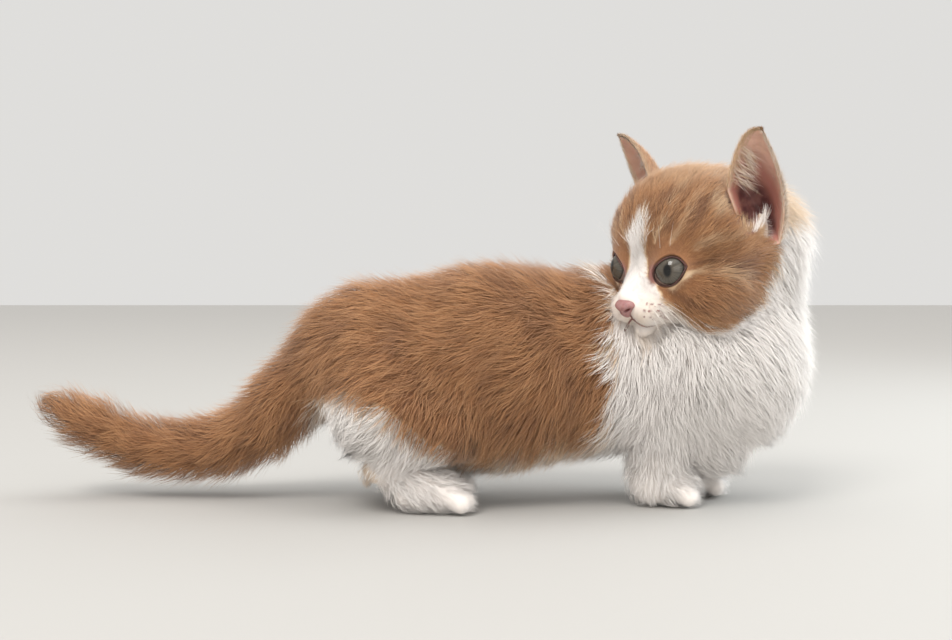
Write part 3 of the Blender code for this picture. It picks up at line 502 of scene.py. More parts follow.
def tuft_arrays(paths, across, outward, skinward, widths, uv_roots, fields):
    """Closed, tapered three-sided tufts, as the arrays that tuft_mesh makes a mesh from.

    paths holds each tuft's middle line, root first and tip last. fields holds one value for each
    tuft under the name of the attribute that carries it. Part of each tuft's shading normal comes
    from the skin below, skinward, so that the coat shades softly as one form.
    """
    count, steps = paths.shape[:2]
    rings = steps - 1
    taper = np.interp(np.linspace(0, 1, steps)[:rings], (0, 0.35, 1), (0.80, 1.0, 0.30))
    half = widths[:, None] * taper / 2
    corners = np.empty((count, rings, 3, 3), np.float32)
    middle = paths[:, :rings]
    corners[:, :, 0] = middle - across[:, None] * half[..., None]
    corners[:, :, 1] = middle + across[:, None] * half[..., None]
    corners[:, :, 2] = middle + outward[:, None] * (half * 0.9)[..., None]
    points = np.concatenate((corners.reshape(count, rings * 3, 3), paths[:, -1:]), axis=1)

    faces = [(2, 1, 0)]
    for ring in range(rings - 1):
        low, high = ring * 3, ring * 3 + 3
        for i in range(3):
            j = (i + 1) % 3
            faces += [(low + i, low + j, high + j), (low + i, high + j, high + i)]
    tip, last = rings * 3, rings * 3 - 3
    faces += [(last + i, last + (i + 1) % 3, tip) for i in range(3)]
    each = rings * 3 + 1
    indices = (np.array(faces)[None] + (np.arange(count) * each)[:, None, None]).reshape(-1)

    along = np.append(np.repeat(np.linspace(0, 1, steps)[:rings], 3), 1.0)
    around = np.append(np.tile((0.0, 0.5, 1.0), rings), 0.5)
    patch = np.stack((around, along), axis=1) * 0.003
    uv = (uv_roots[:, None] + patch[None]).reshape(-1, 2)[indices]
    round_about = np.stack((-across, across, outward), axis=1)
    own = np.concatenate((np.tile(round_about, (1, rings, 1)), outward[:, None]), axis=1)
    normals = unit(own * OWN_SHADE + skinward[:, None] * (1 - OWN_SHADE)).reshape(-1, 3)
    carried = {title: np.repeat(values, each) for title, values in fields.items()}
    carried["along"] = np.tile(along, count)
    return points.reshape(-1, 3), indices, uv, normals, carried


def tuft_mesh(name, *groups):
    """One mesh of all the tufts in groups of arrays from tuft_arrays."""
    starts = np.cumsum([0] + [len(group[0]) for group in groups])
    points = np.concatenate([group[0] for group in groups])
    indices = np.concatenate([group[1] + start for group, start in zip(groups, starts)])
    mesh = bpy.data.meshes.new(name)
    mesh.vertices.add(len(points))
    mesh.vertices.foreach_set("co", (points + SHIFT).astype(np.float32).ravel())
    mesh.loops.add(len(indices))
    mesh.loops.foreach_set("vertex_index", indices.astype(np.int32))
    mesh.polygons.add(len(indices) // 3)
    mesh.polygons.foreach_set("loop_start", np.arange(0, len(indices), 3, dtype=np.int32))
    mesh.update(calc_edges=True)
    layer = mesh.uv_layers.new(name="OFBake")
    layer.uv.foreach_set("vector", np.concatenate([group[2] for group in groups]).astype(np.float32).ravel())
    for title in groups[0][4]:
        add_field(mesh, title, np.concatenate([group[4][title] for group in groups]))
    mesh.shade_smooth()
    mesh.validate()
    normals = np.concatenate([group[3] for group in groups])
    mesh.normals_split_custom_set_from_vertices(normals.astype(np.float32))
    return mesh


def add_field(mesh, name, values):
    attribute = mesh.attributes.new(name, "FLOAT", "POINT")
    attribute.data.foreach_set("value", np.ascontiguousarray(values, dtype=np.float32))


def placed(name, mesh, *materials):
    obj = bpy.data.objects.new(name, mesh)
    bpy.context.scene.collection.objects.link(obj)
    for material in materials:
        mesh.materials.append(material)
    return obj


def applied(obj):
    """Replaces an object's mesh by the one that its modifiers make."""
    graph = bpy.context.evaluated_depsgraph_get()
    graph.update()
    mesh = bpy.data.meshes.new_from_object(obj.evaluated_get(graph))
    obj.modifiers.clear()
    obj.data = mesh
    return obj


def points_of(mesh):
    flat = np.empty(len(mesh.vertices) * 3)
    mesh.vertices.foreach_get("co", flat)
    return flat.reshape(-1, 3)


def normals_of(mesh):
    flat = np.empty(len(mesh.vertices) * 3)
    mesh.vertices.foreach_get("normal", flat)
    return flat.reshape(-1, 3)


def triangles_of(mesh):
    mesh.calc_loop_triangles()
    flat = np.empty(len(mesh.loop_triangles) * 3, np.int64)
    mesh.loop_triangles.foreach_get("vertices", flat)
    return flat.reshape(-1, 3)


# Skin

def bone_hulls(flesh):
    bm = bmesh.new()
    for _, start, end, radii, depths, flattening in flesh.rows:
        balls = bmesh.new()
        for place, radius, depth in ((start, radii[0], depths[0]), (end, radii[1], depths[1])):
            matrix = Matrix.Translation(place) @ Matrix.Diagonal((1, flattening, 1, 1))
            bmesh.ops.create_icosphere(balls, subdivisions=3, radius=radius - depth, matrix=matrix)
        corners = [bm.verts.new(vert.co) for vert in balls.verts]
        balls.free()
        bmesh.ops.convex_hull(bm, input=corners)
        bmesh.ops.delete(bm, geom=[vert for vert in corners if not vert.link_faces], context="VERTS")
    return bm


def settle(mesh, flesh, rounds, evening):
    """Moves a mesh's points onto the skin, evening out their spacing as it goes."""
    points = points_of(mesh)
    ends = np.empty(len(mesh.edges) * 2, np.int64)
    mesh.edges.foreach_get("vertices", ends)
    first, second = ends.reshape(-1, 2).T
    degree = np.bincount(ends, minlength=len(points))[:, None]
    for _ in range(rounds):
        value, gradient = flesh.slope(points)
        value[np.abs(value) > 0.009] = 0
        size = np.maximum((gradient**2).sum(1, keepdims=True), 0.05)
        points -= np.clip(value[:, None], -0.002, 0.002) * gradient / size
        if evening:
            total = np.stack([
                np.bincount(first, points[second, axis], len(points))
                + np.bincount(second, points[first, axis], len(points))
                for axis in range(3)
            ], axis=1)
            drift = (total / degree - points) * evening
            normal = gradient / np.sqrt(size)
            points += drift - normal * (drift * normal).sum(1, keepdims=True)
    mesh.vertices.foreach_set("co", points.ravel())
    mesh.update()


def build_skin_surface(flesh):
    mesh = bpy.data.meshes.new("skin")
    bm = bone_hulls(flesh)
    bm.to_mesh(mesh)
    bm.free()
    obj = placed("skin", mesh)
    remesh = obj.modifiers.new("Blend", "REMESH")
    remesh.mode = "VOXEL"
    remesh.voxel_size = SKIN_VOXEL
    applied(obj)
    settle(obj.data, flesh, 7, 0.5)
    bm = bmesh.new()
    bm.from_mesh(obj.data)
    place = head_local(np.array([vert.co for vert in bm.verts]))
    finer = (place[:, 0] > 0.004) & (np.abs(place).max(1) < 0.05)
    finer |= np.array([vert.co.z < 0.012 for vert in bm.verts])
    bm.verts.ensure_lookup_table()
    edges = [edge for edge in bm.edges if finer[edge.verts[0].index] and finer[edge.verts[1].index]]
    bmesh.ops.subdivide_edges(bm, edges=edges, cuts=1, use_grid_fill=True)
    bmesh.ops.triangulate(bm, faces=bm.faces)
    bm.to_mesh(obj.data)
    bm.free()
    settle(obj.data, flesh, 3, 0.3)
    obj.data.shade_smooth()
    return obj


def lid_outline(side, count):
    """The opening between the lids, as (across, rise) about the line that the eye faces along."""
    angle = 2 * math.pi * np.arange(count) / count
    across = np.cos(angle) * 0.0068
    height = np.where(np.sin(angle) > 0, 0.0057, 0.0054)
    pointed = 1.32 + 0.45 * np.cos(angle) * side
    rise = np.sign(np.sin(angle)) * np.abs(np.sin(angle)) ** pointed * height
    return across, rise + 0.25 * across * side


def eye_frame(side):
    """Rows: the way the eye faces, to its side and up."""
    x = eye_facing(side)
    y = unit(np.cross(UP, x))
    return np.array((x, y, np.cross(x, y)))


def cut_lids(skin):
    """Opens the skin over each eye."""
    for side in (-1, 1):
        axes = eye_frame(side)
        across, rise = lid_outline(side, 36)
        bm = bmesh.new()
        rims = []
        for depth, scale in ((0.001, 0.75), (0.016, 1.9)):
            local = np.stack((np.full(36, depth), across * scale, rise * scale), axis=1)
            rims.append([bm.verts.new(point) for point in eye_centre(side) + local @ axes])
        bm.faces.new(rims[0])
        bm.faces.new(rims[1][::-1])
        for i in range(36):
            j = (i + 1) % 36
            bm.faces.new((rims[0][i], rims[1][i], rims[1][j], rims[0][j]))
        bmesh.ops.recalc_face_normals(bm, faces=bm.faces)
        mesh = bpy.data.meshes.new("opening")
        bm.to_mesh(mesh)
        bm.free()
        opening = placed("opening", mesh)
        cut = skin.modifiers.new("Open", "BOOLEAN")
        cut.operation = "DIFFERENCE"
        cut.object = opening
        cut.solver = "MANIFOLD"
        applied(skin)
        bpy.data.objects.remove(opening)


# Materials

def new_material(name):
    material = bpy.data.materials.new(name)
    material.use_nodes = True
    shader = material.node_tree.nodes["Principled BSDF"]
    return material, material.node_tree, shader


def node(tree, kind, **values):
    made = tree.nodes.new(kind)
    for key, value in values.items():
        setattr(made, key, value)
    return made


def link(tree, output, target):
    tree.links.new(output, target)


def mix_colours(tree, factor, first, second, blend="MIX"):
    """A colour mix. Each of the three may be a socket or a plain value."""
    made = node(tree, "ShaderNodeMix", data_type="RGBA", blend_type=blend)
    for name, value in (("Factor_Float", factor), ("A_Color", first), ("B_Color", second)):
        target = next(one for one in made.inputs if one.identifier == name)
        if isinstance(value, bpy.types.NodeSocket):
            link(tree, value, target)
        else:
            target.default_value = value
    return next(one for one in made.outputs if one.identifier == "Result_Color")


def spread(tree, value, low, high, out_low=0.0, out_high=1.0):
    made = node(tree, "ShaderNodeMapRange", interpolation_type="SMOOTHSTEP")
    link(tree, value, made.inputs["Value"])
    for name, number in (("From Min", low), ("From Max", high), ("To Min", out_low), ("To Max", out_high)):
        made.inputs[name].default_value = number
    return made.outputs["Result"]


def times(tree, first, second):
    made = node(tree, "ShaderNodeMath", operation="MULTIPLY")
    for target, value in zip(made.inputs, (first, second)):
        if isinstance(value, bpy.types.NodeSocket):
            link(tree, value, target)
        else:
            target.default_value = value
    return made.outputs[0]


def coat_colour_group():
    """The coat's colour from the markings that each mesh carries, shared by the skin and every tuft."""
    group = bpy.data.node_groups.new("Coat colour", "ShaderNodeTree")
    face = group.interface
    names = ("Ginger", "Ginger patches and root shade", "Ginger tip", "Tabby", "Cream", "White", "White root shade")
    for name in names:
        face.new_socket(name, in_out="INPUT", socket_type="NodeSocketColor")
    face.new_socket("Colour", in_out="OUTPUT", socket_type="NodeSocketColor")
    face.new_socket("Roughness", in_out="OUTPUT", socket_type="NodeSocketFloat")
    given = node(group, "NodeGroupInput").outputs
    out = node(group, "NodeGroupOutput").inputs
    carried = {}
    for name in ("ginger", "along", "tuft", "streak"):
        carried[name] = node(group, "ShaderNodeAttribute", attribute_name=name).outputs["Fac"]
    place = node(group, "ShaderNodeTexCoord").outputs["Object"]
    patches = node(group, "ShaderNodeTexNoise")
    patches.inputs["Scale"].default_value = 75
    patches.inputs["Detail"].default_value = 3
    link(group, place, patches.inputs["Vector"])
    patch = spread(group, patches.outputs["Fac"], 0.35, 0.68)

    # Ginger tufts darken towards the root: painted shade deep in the coat; the same colour marks random darker patches
    root_shaded = mix_colours(group, spread(group, carried["along"], 0.10, 0.62), given["Ginger patches and root shade"], given["Ginger"])
    tipped = mix_colours(group, spread(group, carried["along"], 0.62, 1.0, 0, 0.75), root_shaded, given["Ginger tip"])
    streaked = mix_colours(group, times(group, carried["streak"], 0.92), tipped, given["Tabby"])
    patched = mix_colours(group, times(group, patch, 0.22), streaked, given["Ginger patches and root shade"])
    # White tufts darken towards the root: painted shade deep in the coat
    white = mix_colours(group, spread(group, carried["along"], 0.0, 0.5), given["White root shade"], given["White"])
    paler = mix_colours(group, spread(group, carried["ginger"], 0.0, 0.5), white, given["Cream"])
    coat = mix_colours(group, spread(group, carried["ginger"], 0.4, 1.0), paler, patched)
    lift = times(group, spread(group, carried["tuft"], 0.55, 0.95, 0.0, 0.42), carried["ginger"])
    lifted = mix_colours(group, lift, coat, given["Ginger tip"])
    shade = times(group, spread(group, carried["tuft"], 0.0, 0.65, 0.42, 0.0),
                  spread(group, carried["ginger"], 0.0, 1.0, 0.38, 1.0))
    varied = mix_colours(group, shade, lifted, (0.10, 0.05, 0.03, 1))
    # bare: real dark skin at the eyes' inner corners and the whiskers' roots, and painted shade in the ears' hollows on
    # the skin
    bare = node(group, "ShaderNodeAttribute", attribute_name="bare").outputs["Fac"]
    varied = mix_colours(group, spread(group, bare, 0.0, 0.6), varied, (0.27, 0.115, 0.10, 1))
    varied = mix_colours(group, spread(group, bare, 0.6, 1.0), varied, (0.085, 0.022, 0.020, 1))
    link(group, varied, out["Colour"])
    link(group, spread(group, carried["tuft"], 0.0, 1.0, 0.52, 0.70), out["Roughness"])
    return group


def coat_material(name, group, sheen):
    material, tree, shader = new_material(name)
    coat = node(tree, "ShaderNodeGroup", node_tree=group)
    look = settings().coat
    for socket, colour in (
        ("Ginger", look.ginger), ("Ginger patches and root shade", look.ginger_patches_and_root_shade), ("Ginger tip", look.ginger_tip),
        ("Tabby", look.tabby), ("Cream", look.cream), ("White", look.white), ("White root shade", look.white_root_shade),
    ):
        coat.inputs[socket].default_value = (*colour, 1)
    link(tree, coat.outputs["Colour"], shader.inputs["Base Color"])
    link(tree, coat.outputs["Roughness"], shader.inputs["Roughness"])
    shader.inputs["Specular IOR Level"].default_value = 0.25
    shader.inputs["Sheen Weight"].default_value = sheen
    shader.inputs["Sheen Roughness"].default_value = 0.6
    return material


def the_material(name, maker, *values):
    return bpy.data.materials.get(name) or maker(name, *values)


def coat_finish():
    group = bpy.data.node_groups.get("Coat colour") or coat_colour_group()
    return the_material("fur", coat_material, group, 0.35)


# Coat

PIECES = {
    "coat_face": "white_coat",
    "coat_head": "ginger_coat",
    "coat_chest_right": "white_coat",
    "coat_chest_left": "white_coat",
    "coat_neck": "white_coat",
    "coat_flank_right": "ginger_coat",
    "coat_flank_left": "ginger_coat",
    "coat_rump": "ginger_coat",
    "coat_tail": "ginger_coat",
    "coat_hind_legs": "white_coat",
    "coat_forelegs": "white_coat",
}


def piece_of(points, kinds):
    """The coat piece that each root belongs to, as its index in PIECES."""
    order = {name: i for i, name in enumerate(PIECES)}
    piece = np.where(points[:, 1] < REAR_MIDLINE, order["coat_flank_right"], order["coat_flank_left"])
    piece = np.where(points[:, 0] < -0.024, order["coat_rump"], piece)
    neck = kinds == NECK
    right = points[:, 1] < CHEST_PARTING
    piece = np.where(neck & right, order["coat_chest_right"], piece)
    piece = np.where(neck & ~right, order["coat_chest_left"], piece)
    piece = np.where(neck & (points[:, 2] > 0.080), order["coat_neck"], piece)
    piece = np.where(kinds == TAIL, order["coat_tail"], piece)
    piece = np.where((kinds == HIND_LEG) | (kinds == HIND_FOOT), order["coat_hind_legs"], piece)
    piece = np.where((kinds == FORE_LEG) | (kinds == FORE_PAW), order["coat_forelegs"], piece)
    head = kinds == HEAD
    face = head & (head_local(points)[:, 0] > 0.004)
    piece = np.where(head, order["coat_head"], piece)
    return np.where(face, order["coat_face"], piece)


def unwrapped(points, kinds):
    """A place on an unwrap of the skin's own shape: round the head, the trunk, the legs and the tail."""
    uv = np.empty((len(points), 2))
    for kind in range(8):
        chosen = kinds == kind
        if not chosen.any():
            continue
        there = points[chosen]
        if kind == HEAD:
            ahead, sideways, up = head_local(there).T
            uv[chosen, 0] = np.arctan2(sideways, -ahead) / (2 * math.pi) + 0.5
            uv[chosen, 1] = np.arctan2(up, np.hypot(ahead, sideways)) / math.pi + 0.5
            continue
        middle = there.mean(0)
        low, high = there[:, 2].min(), there[:, 2].max()
        if kind in (TRUNK, TAIL):
            around = np.arctan2(there[:, 1] - middle[1], there[:, 2] - np.interp(
                there[:, 0], TAIL_LINE[::-1, 0], TAIL_LINE[::-1, 2]) if kind == TAIL else there[:, 2] - 0.058)
            length = there[:, 0]
        else:
            side = np.sign(there[:, 1] - (REAR_MIDLINE if kind in (HIND_LEG, HIND_FOOT) else FRONT_MIDLINE))
            centre = middle[1] + side * (0 if kind == NECK else 0.015)
            around = np.arctan2(there[:, 1] - centre, there[:, 0] - middle[0])
            if kind != NECK:
                around = around / 2 + side * math.pi / 2
            length = there[:, 2]
        uv[chosen, 0] = around / (2 * math.pi) + 0.5
        uv[chosen, 1] = (length - length.min()) / max(float(np.ptp(length)), 1e-6)
    return uv * 0.99 + 0.002


def sample_surface(mesh, density_of, draw):
    """Random points on a mesh, at density_of(points) to the square metre."""
    points, corners = points_of(mesh) - SHIFT, triangles_of(mesh)
    a, b, c = (points[corners[:, i]] for i in range(3))
    area = np.linalg.norm(np.cross(b - a, c - a), axis=1) / 2
    wanted = area * density_of((a + b + c) / 3)
    count = int(wanted.sum())
    picked = np.searchsorted(np.cumsum(wanted) / wanted.sum(), (np.arange(count) + draw.random(count)) / count)
    picked = np.minimum(picked, len(a) - 1)
    first, second = draw.random((2, count))
    flip = first + second > 1
    first[flip], second[flip] = 1 - first[flip], 1 - second[flip]
    return a[picked] + (b - a)[picked] * first[:, None] + (c - a)[picked] * second[:, None]


def density_rule(flesh):
    per_mm = settings().coat.density * 1e6

    def rule(points):
        kinds = flesh.kind_at(points)
        scale = np.choose(kinds, (2.3, 1.12, 0.96, 0.86, 0.72, 1.5, 1.05, 1.9))
        face = (kinds == HEAD) & (head_local(points)[:, 0] > 0.004)
        scale = np.where(face, 4.1, scale)
        return per_mm * scale * (points[:, 2] > 0.0016)
    return rule


def tuft_paths(flesh, roots, normals, kinds, lengths, heights, turns, steps):
    """Each tuft's middle line. It rises from the skin and then follows it at its own height."""
    place, normal = roots, normals
    path = [roots - normals * 0.0006]
    outward = normals
    for step in range(1, steps):
        share = step / (steps - 1)
        way = surface_way(normal, lie_of(place, kinds, flesh.head_share(place)))
        way = way * np.cos(turns)[:, None] + np.cross(normal, way) * np.sin(turns)[:, None]
        place = place + way * (lengths / (steps - 1))[:, None]
        value, gradient = flesh.slope(place)
        size = np.maximum(np.linalg.norm(gradient, axis=1, keepdims=True), 0.3)
        normal = gradient / size
        wanted = heights * share**0.65
        place = place + normal * np.clip(wanted - value / size[:, 0], -0.004, 0.006)[:, None]
        place[:, 2] = np.maximum(place[:, 2], 0.0007)
        path.append(place)
        if step == 1:
            outward = normal
    return np.stack(path, axis=1), outward


def gathered(paths, roots, spacing, strength, draw):
    """Draws tufts towards their nearest leader, most at the tips, as fur does in locks."""
    chance = np.clip(1.0 / np.maximum(spacing, 1.0), 0, 1)
    leaders = np.flatnonzero(draw.random(len(roots)) < chance)
    tree = KDTree(len(leaders))
    for i, leader in enumerate(leaders):
        tree.insert(roots[leader], i)
    tree.balance()
    nearest = leaders[[tree.find(root)[1] for root in roots]]
    steps = paths.shape[1]
    for step in range(1, steps):
        pull = (strength * (step / (steps - 1)) ** 1.3)[:, None]
        paths[:, step] += (paths[nearest, step] - paths[:, step]) * pull
    return paths, nearest


def eye_clearance(points):
    """How far each point is from the nearer eye's lids."""
    away = [np.linalg.norm(points - eye_centre(side), axis=1) for side in (-1, 1)]
    return np.minimum(*away) - EYE_RADIUS


def build_coat(skin, flesh):
    draw = np.random.default_rng(settings().coat.seed)
    roots = sample_surface(skin.data, density_rule(flesh), draw)
    value, gradient = flesh.slope(roots)
    normals = unit(gradient)
    kept = np.abs(value) < 0.0008
    for side in (-1, 1):
        axes = eye_frame(side)
        ahead, across, rise = ((roots - eye_centre(side)) @ axes.T).T
        inside = (ahead > 0) & ((across / 0.0070) ** 2 + ((rise - 0.25 * across * side) / 0.0060) ** 2 < 1)
        kept &= ~inside
        kept &= np.linalg.norm(roots - hollow_centre(side), axis=1) > EAR_HOLLOW + 0.0006
    kept &= np.linalg.norm(roots - NOSE, axis=1) > 0.0048
    kept &= np.linalg.norm(roots - head_place(0.0292, 0, -0.0200), axis=1) > 0.0026
    for line in mouth_lines():
        for start, end in zip(line, line[1:]):
            kept &= segment_distance(roots, start, end) > 0.0009
    roots, normals = roots[kept], normals[kept]
    kinds = flesh.kind_at(roots)
    count = len(roots)
    depth = np.maximum(-flesh.value(roots, 0.0), 0.0005)
    place = head_local(roots)

    head = kinds == HEAD
    under = draw.random(count) < 0.27
    size = draw.normal(1, 0.14, count).clip(0.6, 1.4)
    lengths = (0.0010 + 2.4 * depth) * size * np.where(under, 0.7, 1.0)
    upper = ramp(normals[:, 2], 0.2, 0.7)
    stray = draw.random(count) ** (5 - 2.4 * upper)
    heights = depth * draw.uniform(0.90, 1.65, count) + stray * 0.0070 * np.clip(depth / 0.0045, 0, 1) ** 2
    below = ramp(-normals[:, 2], 0.2, 0.8) * (depth > 0.0035)
    heights = heights + 0.0042 * draw.random(count) * below
    lengths = lengths * (1 + 0.2 * below)
    heights = heights + 0.0025 * draw.random(count) * ((kinds == NECK) & (roots[:, 2] < 0.085))
    feet = (kinds == HIND_FOOT) | (kinds == FORE_PAW)
    heights = heights + 0.0026 * draw.random(count) ** 2 * feet
    heights = np.where(under, depth * draw.uniform(0.35, 0.75, count), heights)
    lengths = np.where(feet, lengths * 1.25, lengths)
    to_hollow = np.min([np.linalg.norm(roots - hollow_centre(side), axis=1) for side in (-1, 1)], axis=0)
    near_ear = ramp(to_hollow - EAR_HOLLOW, 0.0005, 0.0085)
    lengths = lengths * (0.22 + 0.78 * near_ear)
    heights = heights * (0.30 + 0.70 * near_ear)
    jowl = head * ramp(np.abs(place[:, 1]), 0.009, 0.014) * ramp(-place[:, 2], 0.010, 0.016)
    heights = heights + 0.0022 * draw.random(count) * jowl
    near_eye = ramp(eye_clearance(roots), 0.0012, 0.0070)
    lengths = np.where(head, lengths * (0.45 + 0.55 * near_eye), lengths)
    heights = np.where(head, heights * (0.40 + 0.60 * near_eye), heights)
    turns = draw.normal(0, 0.27, count) + (0.20 * ripple(roots, 0.012, 2) + 0.26 * ripple(roots, 0.006, 9)) * (1 - head)
    widths = np.where(under, 0.00060, 0.00021) * np.clip(lengths / 0.009, 0.55, 1.15)
    widths = widths * draw.uniform(0.8, 1.2, count) * (1 - 0.45 * (stray > 0.35))

    paths, outward = tuft_paths(flesh, roots, normals, kinds, lengths, heights, turns, 3)
    spacing = np.clip((lengths * 1e3) ** 1.55 * np.where(head | feet, 0.75, 0.42), 5, 26)
    strength = draw.uniform(0.0, 0.52, count) * np.where(under, 0.4, 1.0)
    strength = np.where(head | feet, strength * 1.45, strength)
    paths, leader = gathered(paths, roots, spacing, strength, draw)
    uneven = draw.normal(0, 1, (count, 3))[leader] * np.where(feet, 0.34, 0.15)[:, None]
    skinward = unit(outward + uneven)
    runs = unit(paths[:, -1] - paths[:, 0])
    across = unit(np.cross(outward, runs))
    rise = unit(np.cross(runs, across))
    ginger, streak = markings(roots, normals, kinds)
    own = draw.random(count)
    tint = 0.5 * own[leader] + 0.5 * draw.random(count)
    bare = bare_places(roots, kinds)
    pieces = piece_of(roots, kinds)
    uv = unwrapped(roots, kinds)
    finish = coat_finish()
    made = []
    straight = under | (lengths < SHORT_TUFT)
    for index, (name, slot) in enumerate(PIECES.items()):
        groups = []
        for form, steps in ((straight, (0, 2)), (~straight, (0, 1, 2))):
            chosen = (pieces == index) & form
            if chosen.any():
                fields = {"ginger": ginger[chosen], "streak": streak[chosen], "tuft": tint[chosen],
                          "bare": bare[chosen]}
                groups.append(tuft_arrays(paths[chosen][:, steps], across[chosen], rise[chosen], skinward[chosen],
                                          widths[chosen], uv[chosen], fields))
        made.append((placed(name, tuft_mesh(name, *groups), finish), slot))
    return made


def segment_distance(points, start, end):
    along = end - start
    share = np.clip(((points - start) @ along) / (along @ along), 0, 1)
    return np.linalg.norm(points - (start + share[:, None] * along), axis=1)


def mouth_lines():
    """From below the nose down the lip's cleft, then along each upper lip to the mouth's corner."""
    lips = [(0.0310, 0.0003, -0.0252), (0.0290, 0.0036, -0.0274), (0.0250, 0.0074, -0.0292)]
    lips += [(0.0222, 0.0094, -0.0295)]
    lines = [[(0.0330, 0, -0.0205), (0.0310, 0, -0.0251)]]
    for side in (-1, 1):
        lines.append([(f, side * left, up) for f, left, up in lips])
    return [[head_place(*place) for place in line] for line in lines]


# Ears

EAR_WIDTH = 0.030
EAR_WALL = 0.0011
EAR_LEVELS = 30
EAR_ACROSS = 24


class Ear:
    """A thin cupped sheet, open towards the front and outside, that narrows to a rounded tip."""

    def __init__(self, side):
        self.side = side
        self.base = head_place(-0.0178, side * 0.0272, 0.0110)
        self.tip = head_place(-0.0131, side * 0.0372, 0.0455)
        inner, outer = head_place(-0.0118, side * 0.0185, 0.0210), head_place(-0.0232, side * 0.0310, 0.0)
        self.upward = unit(self.tip - self.base)
        self.chord = unit(outer - inner)
        self.back = unit(np.cross(self.upward, self.chord)) * side

    def points(self, share, turn):
        """Points of the sheet. share runs from below the base to the tip, turn from -1 inside to 1 outside."""
        share, turn = share[..., None], turn[..., None]
        width = EAR_WIDTH / 2 * np.maximum(1 - np.maximum(share, 0) ** 2.7, 0) ** 0.85
        width = width * np.clip(1 + 2.6 * np.minimum(share, 0), 0.5, 1)
        bow = np.radians(68 - 26 * share)
        middle = self.base + (self.tip - self.base) * share
        middle = middle + self.back * (0.0022 * np.sin(math.pi * share))
        middle = middle + self.chord * (0.0015 * np.sin(math.pi * np.maximum(share, 0)))
        sideways = self.chord * (np.sin(bow * turn) / np.sin(bow) * width)
        depth = self.back * ((np.cos(bow * turn) - np.cos(bow)) / np.sin(bow) * width)
        return middle + sideways + depth

    def outward(self, share, turn):
        """The way that faces out of the ear's back."""
        step = 1e-3
        along = self.points(share + step, turn) - self.points(share - step, turn)
        across = self.points(share, turn + step) - self.points(share, turn - step)
        normal = unit(np.cross(along, across))
        return normal * np.sign((normal * self.back).sum(-1, keepdims=True))

    def tipward(self, share, turn):
        return unit(self.points(share + 1e-3, turn) - self.points(share - 1e-3, turn))


def ear_sheet(name, ear):
    share = np.linspace(-0.16, 0.995, EAR_LEVELS + 1)[:, None] + np.zeros(EAR_ACROSS + 1)
    turn = np.linspace(-1, 1, EAR_ACROSS + 1) + np.zeros((EAR_LEVELS + 1, 1))
    grid, normals = ear.points(share, turn), ear.outward(share, turn)
    thick = EAR_WALL * (0.55 + 0.45 * (1 - np.abs(turn) ** 3))[..., None]
    layers = np.concatenate((grid + normals * thick / 2, grid - normals * thick / 2)).reshape(-1, 3)
    rows, columns = EAR_LEVELS + 1, EAR_ACROSS + 1
    faces = []
    for layer in (0, 1):
        for i in range(EAR_LEVELS):
            for j in range(EAR_ACROSS):
                a = layer * rows * columns + i * columns + j
                faces.append((a, a + 1, a + columns + 1, a + columns)[::1 if layer else -1])
    rim = [(i, 0) for i in range(rows)] + [(rows - 1, j) for j in range(1, columns)]
    rim += [(i, columns - 1) for i in range(rows - 2, -1, -1)] + [(0, j) for j in range(columns - 2, 0, -1)]
    loop = [i * columns + j for i, j in rim]
    for a, b in zip(loop, loop[1:] + loop[:1]):
        faces.append((a, b, b + rows * columns, a + rows * columns))
    mesh = bpy.data.meshes.new(name)
    mesh.from_pydata((layers + SHIFT).tolist(), [], faces)
    closed_outwards(mesh)
    # deep grows towards the bottom and middle of the cup, where the inside gets painted shade
    deep = np.clip(1 - share / 0.75, 0, 1) * (1 - np.abs(turn) ** 2.5)
    inside = np.concatenate((np.zeros(deep.size), np.ones(deep.size)))
    add_field(mesh, "deep", np.tile(deep.ravel(), 2))
    add_field(mesh, "inside", inside)
    mesh.shade_smooth()
    return mesh


def closed_outwards(mesh):
    bm = bmesh.new()
    bm.from_mesh(mesh)
    bmesh.ops.recalc_face_normals(bm, faces=bm.faces)
    if bm.calc_volume(signed=True) < 0:
        bmesh.ops.reverse_faces(bm, faces=bm.faces)
    bm.to_mesh(mesh)
    bm.free()


def straight_paths(roots, ways, lifts, lengths, steps):
    """Tufts that leave along lifts and bend over towards ways."""
    path = [roots]
    for step in range(1, steps):
        share = step / (steps - 1)
        way = unit(ways * (0.35 + share) + lifts * (1 - 0.7 * share))
        path.append(path[-1] + way * (lengths / (steps - 1))[:, None])
    return np.stack(path, axis=1)


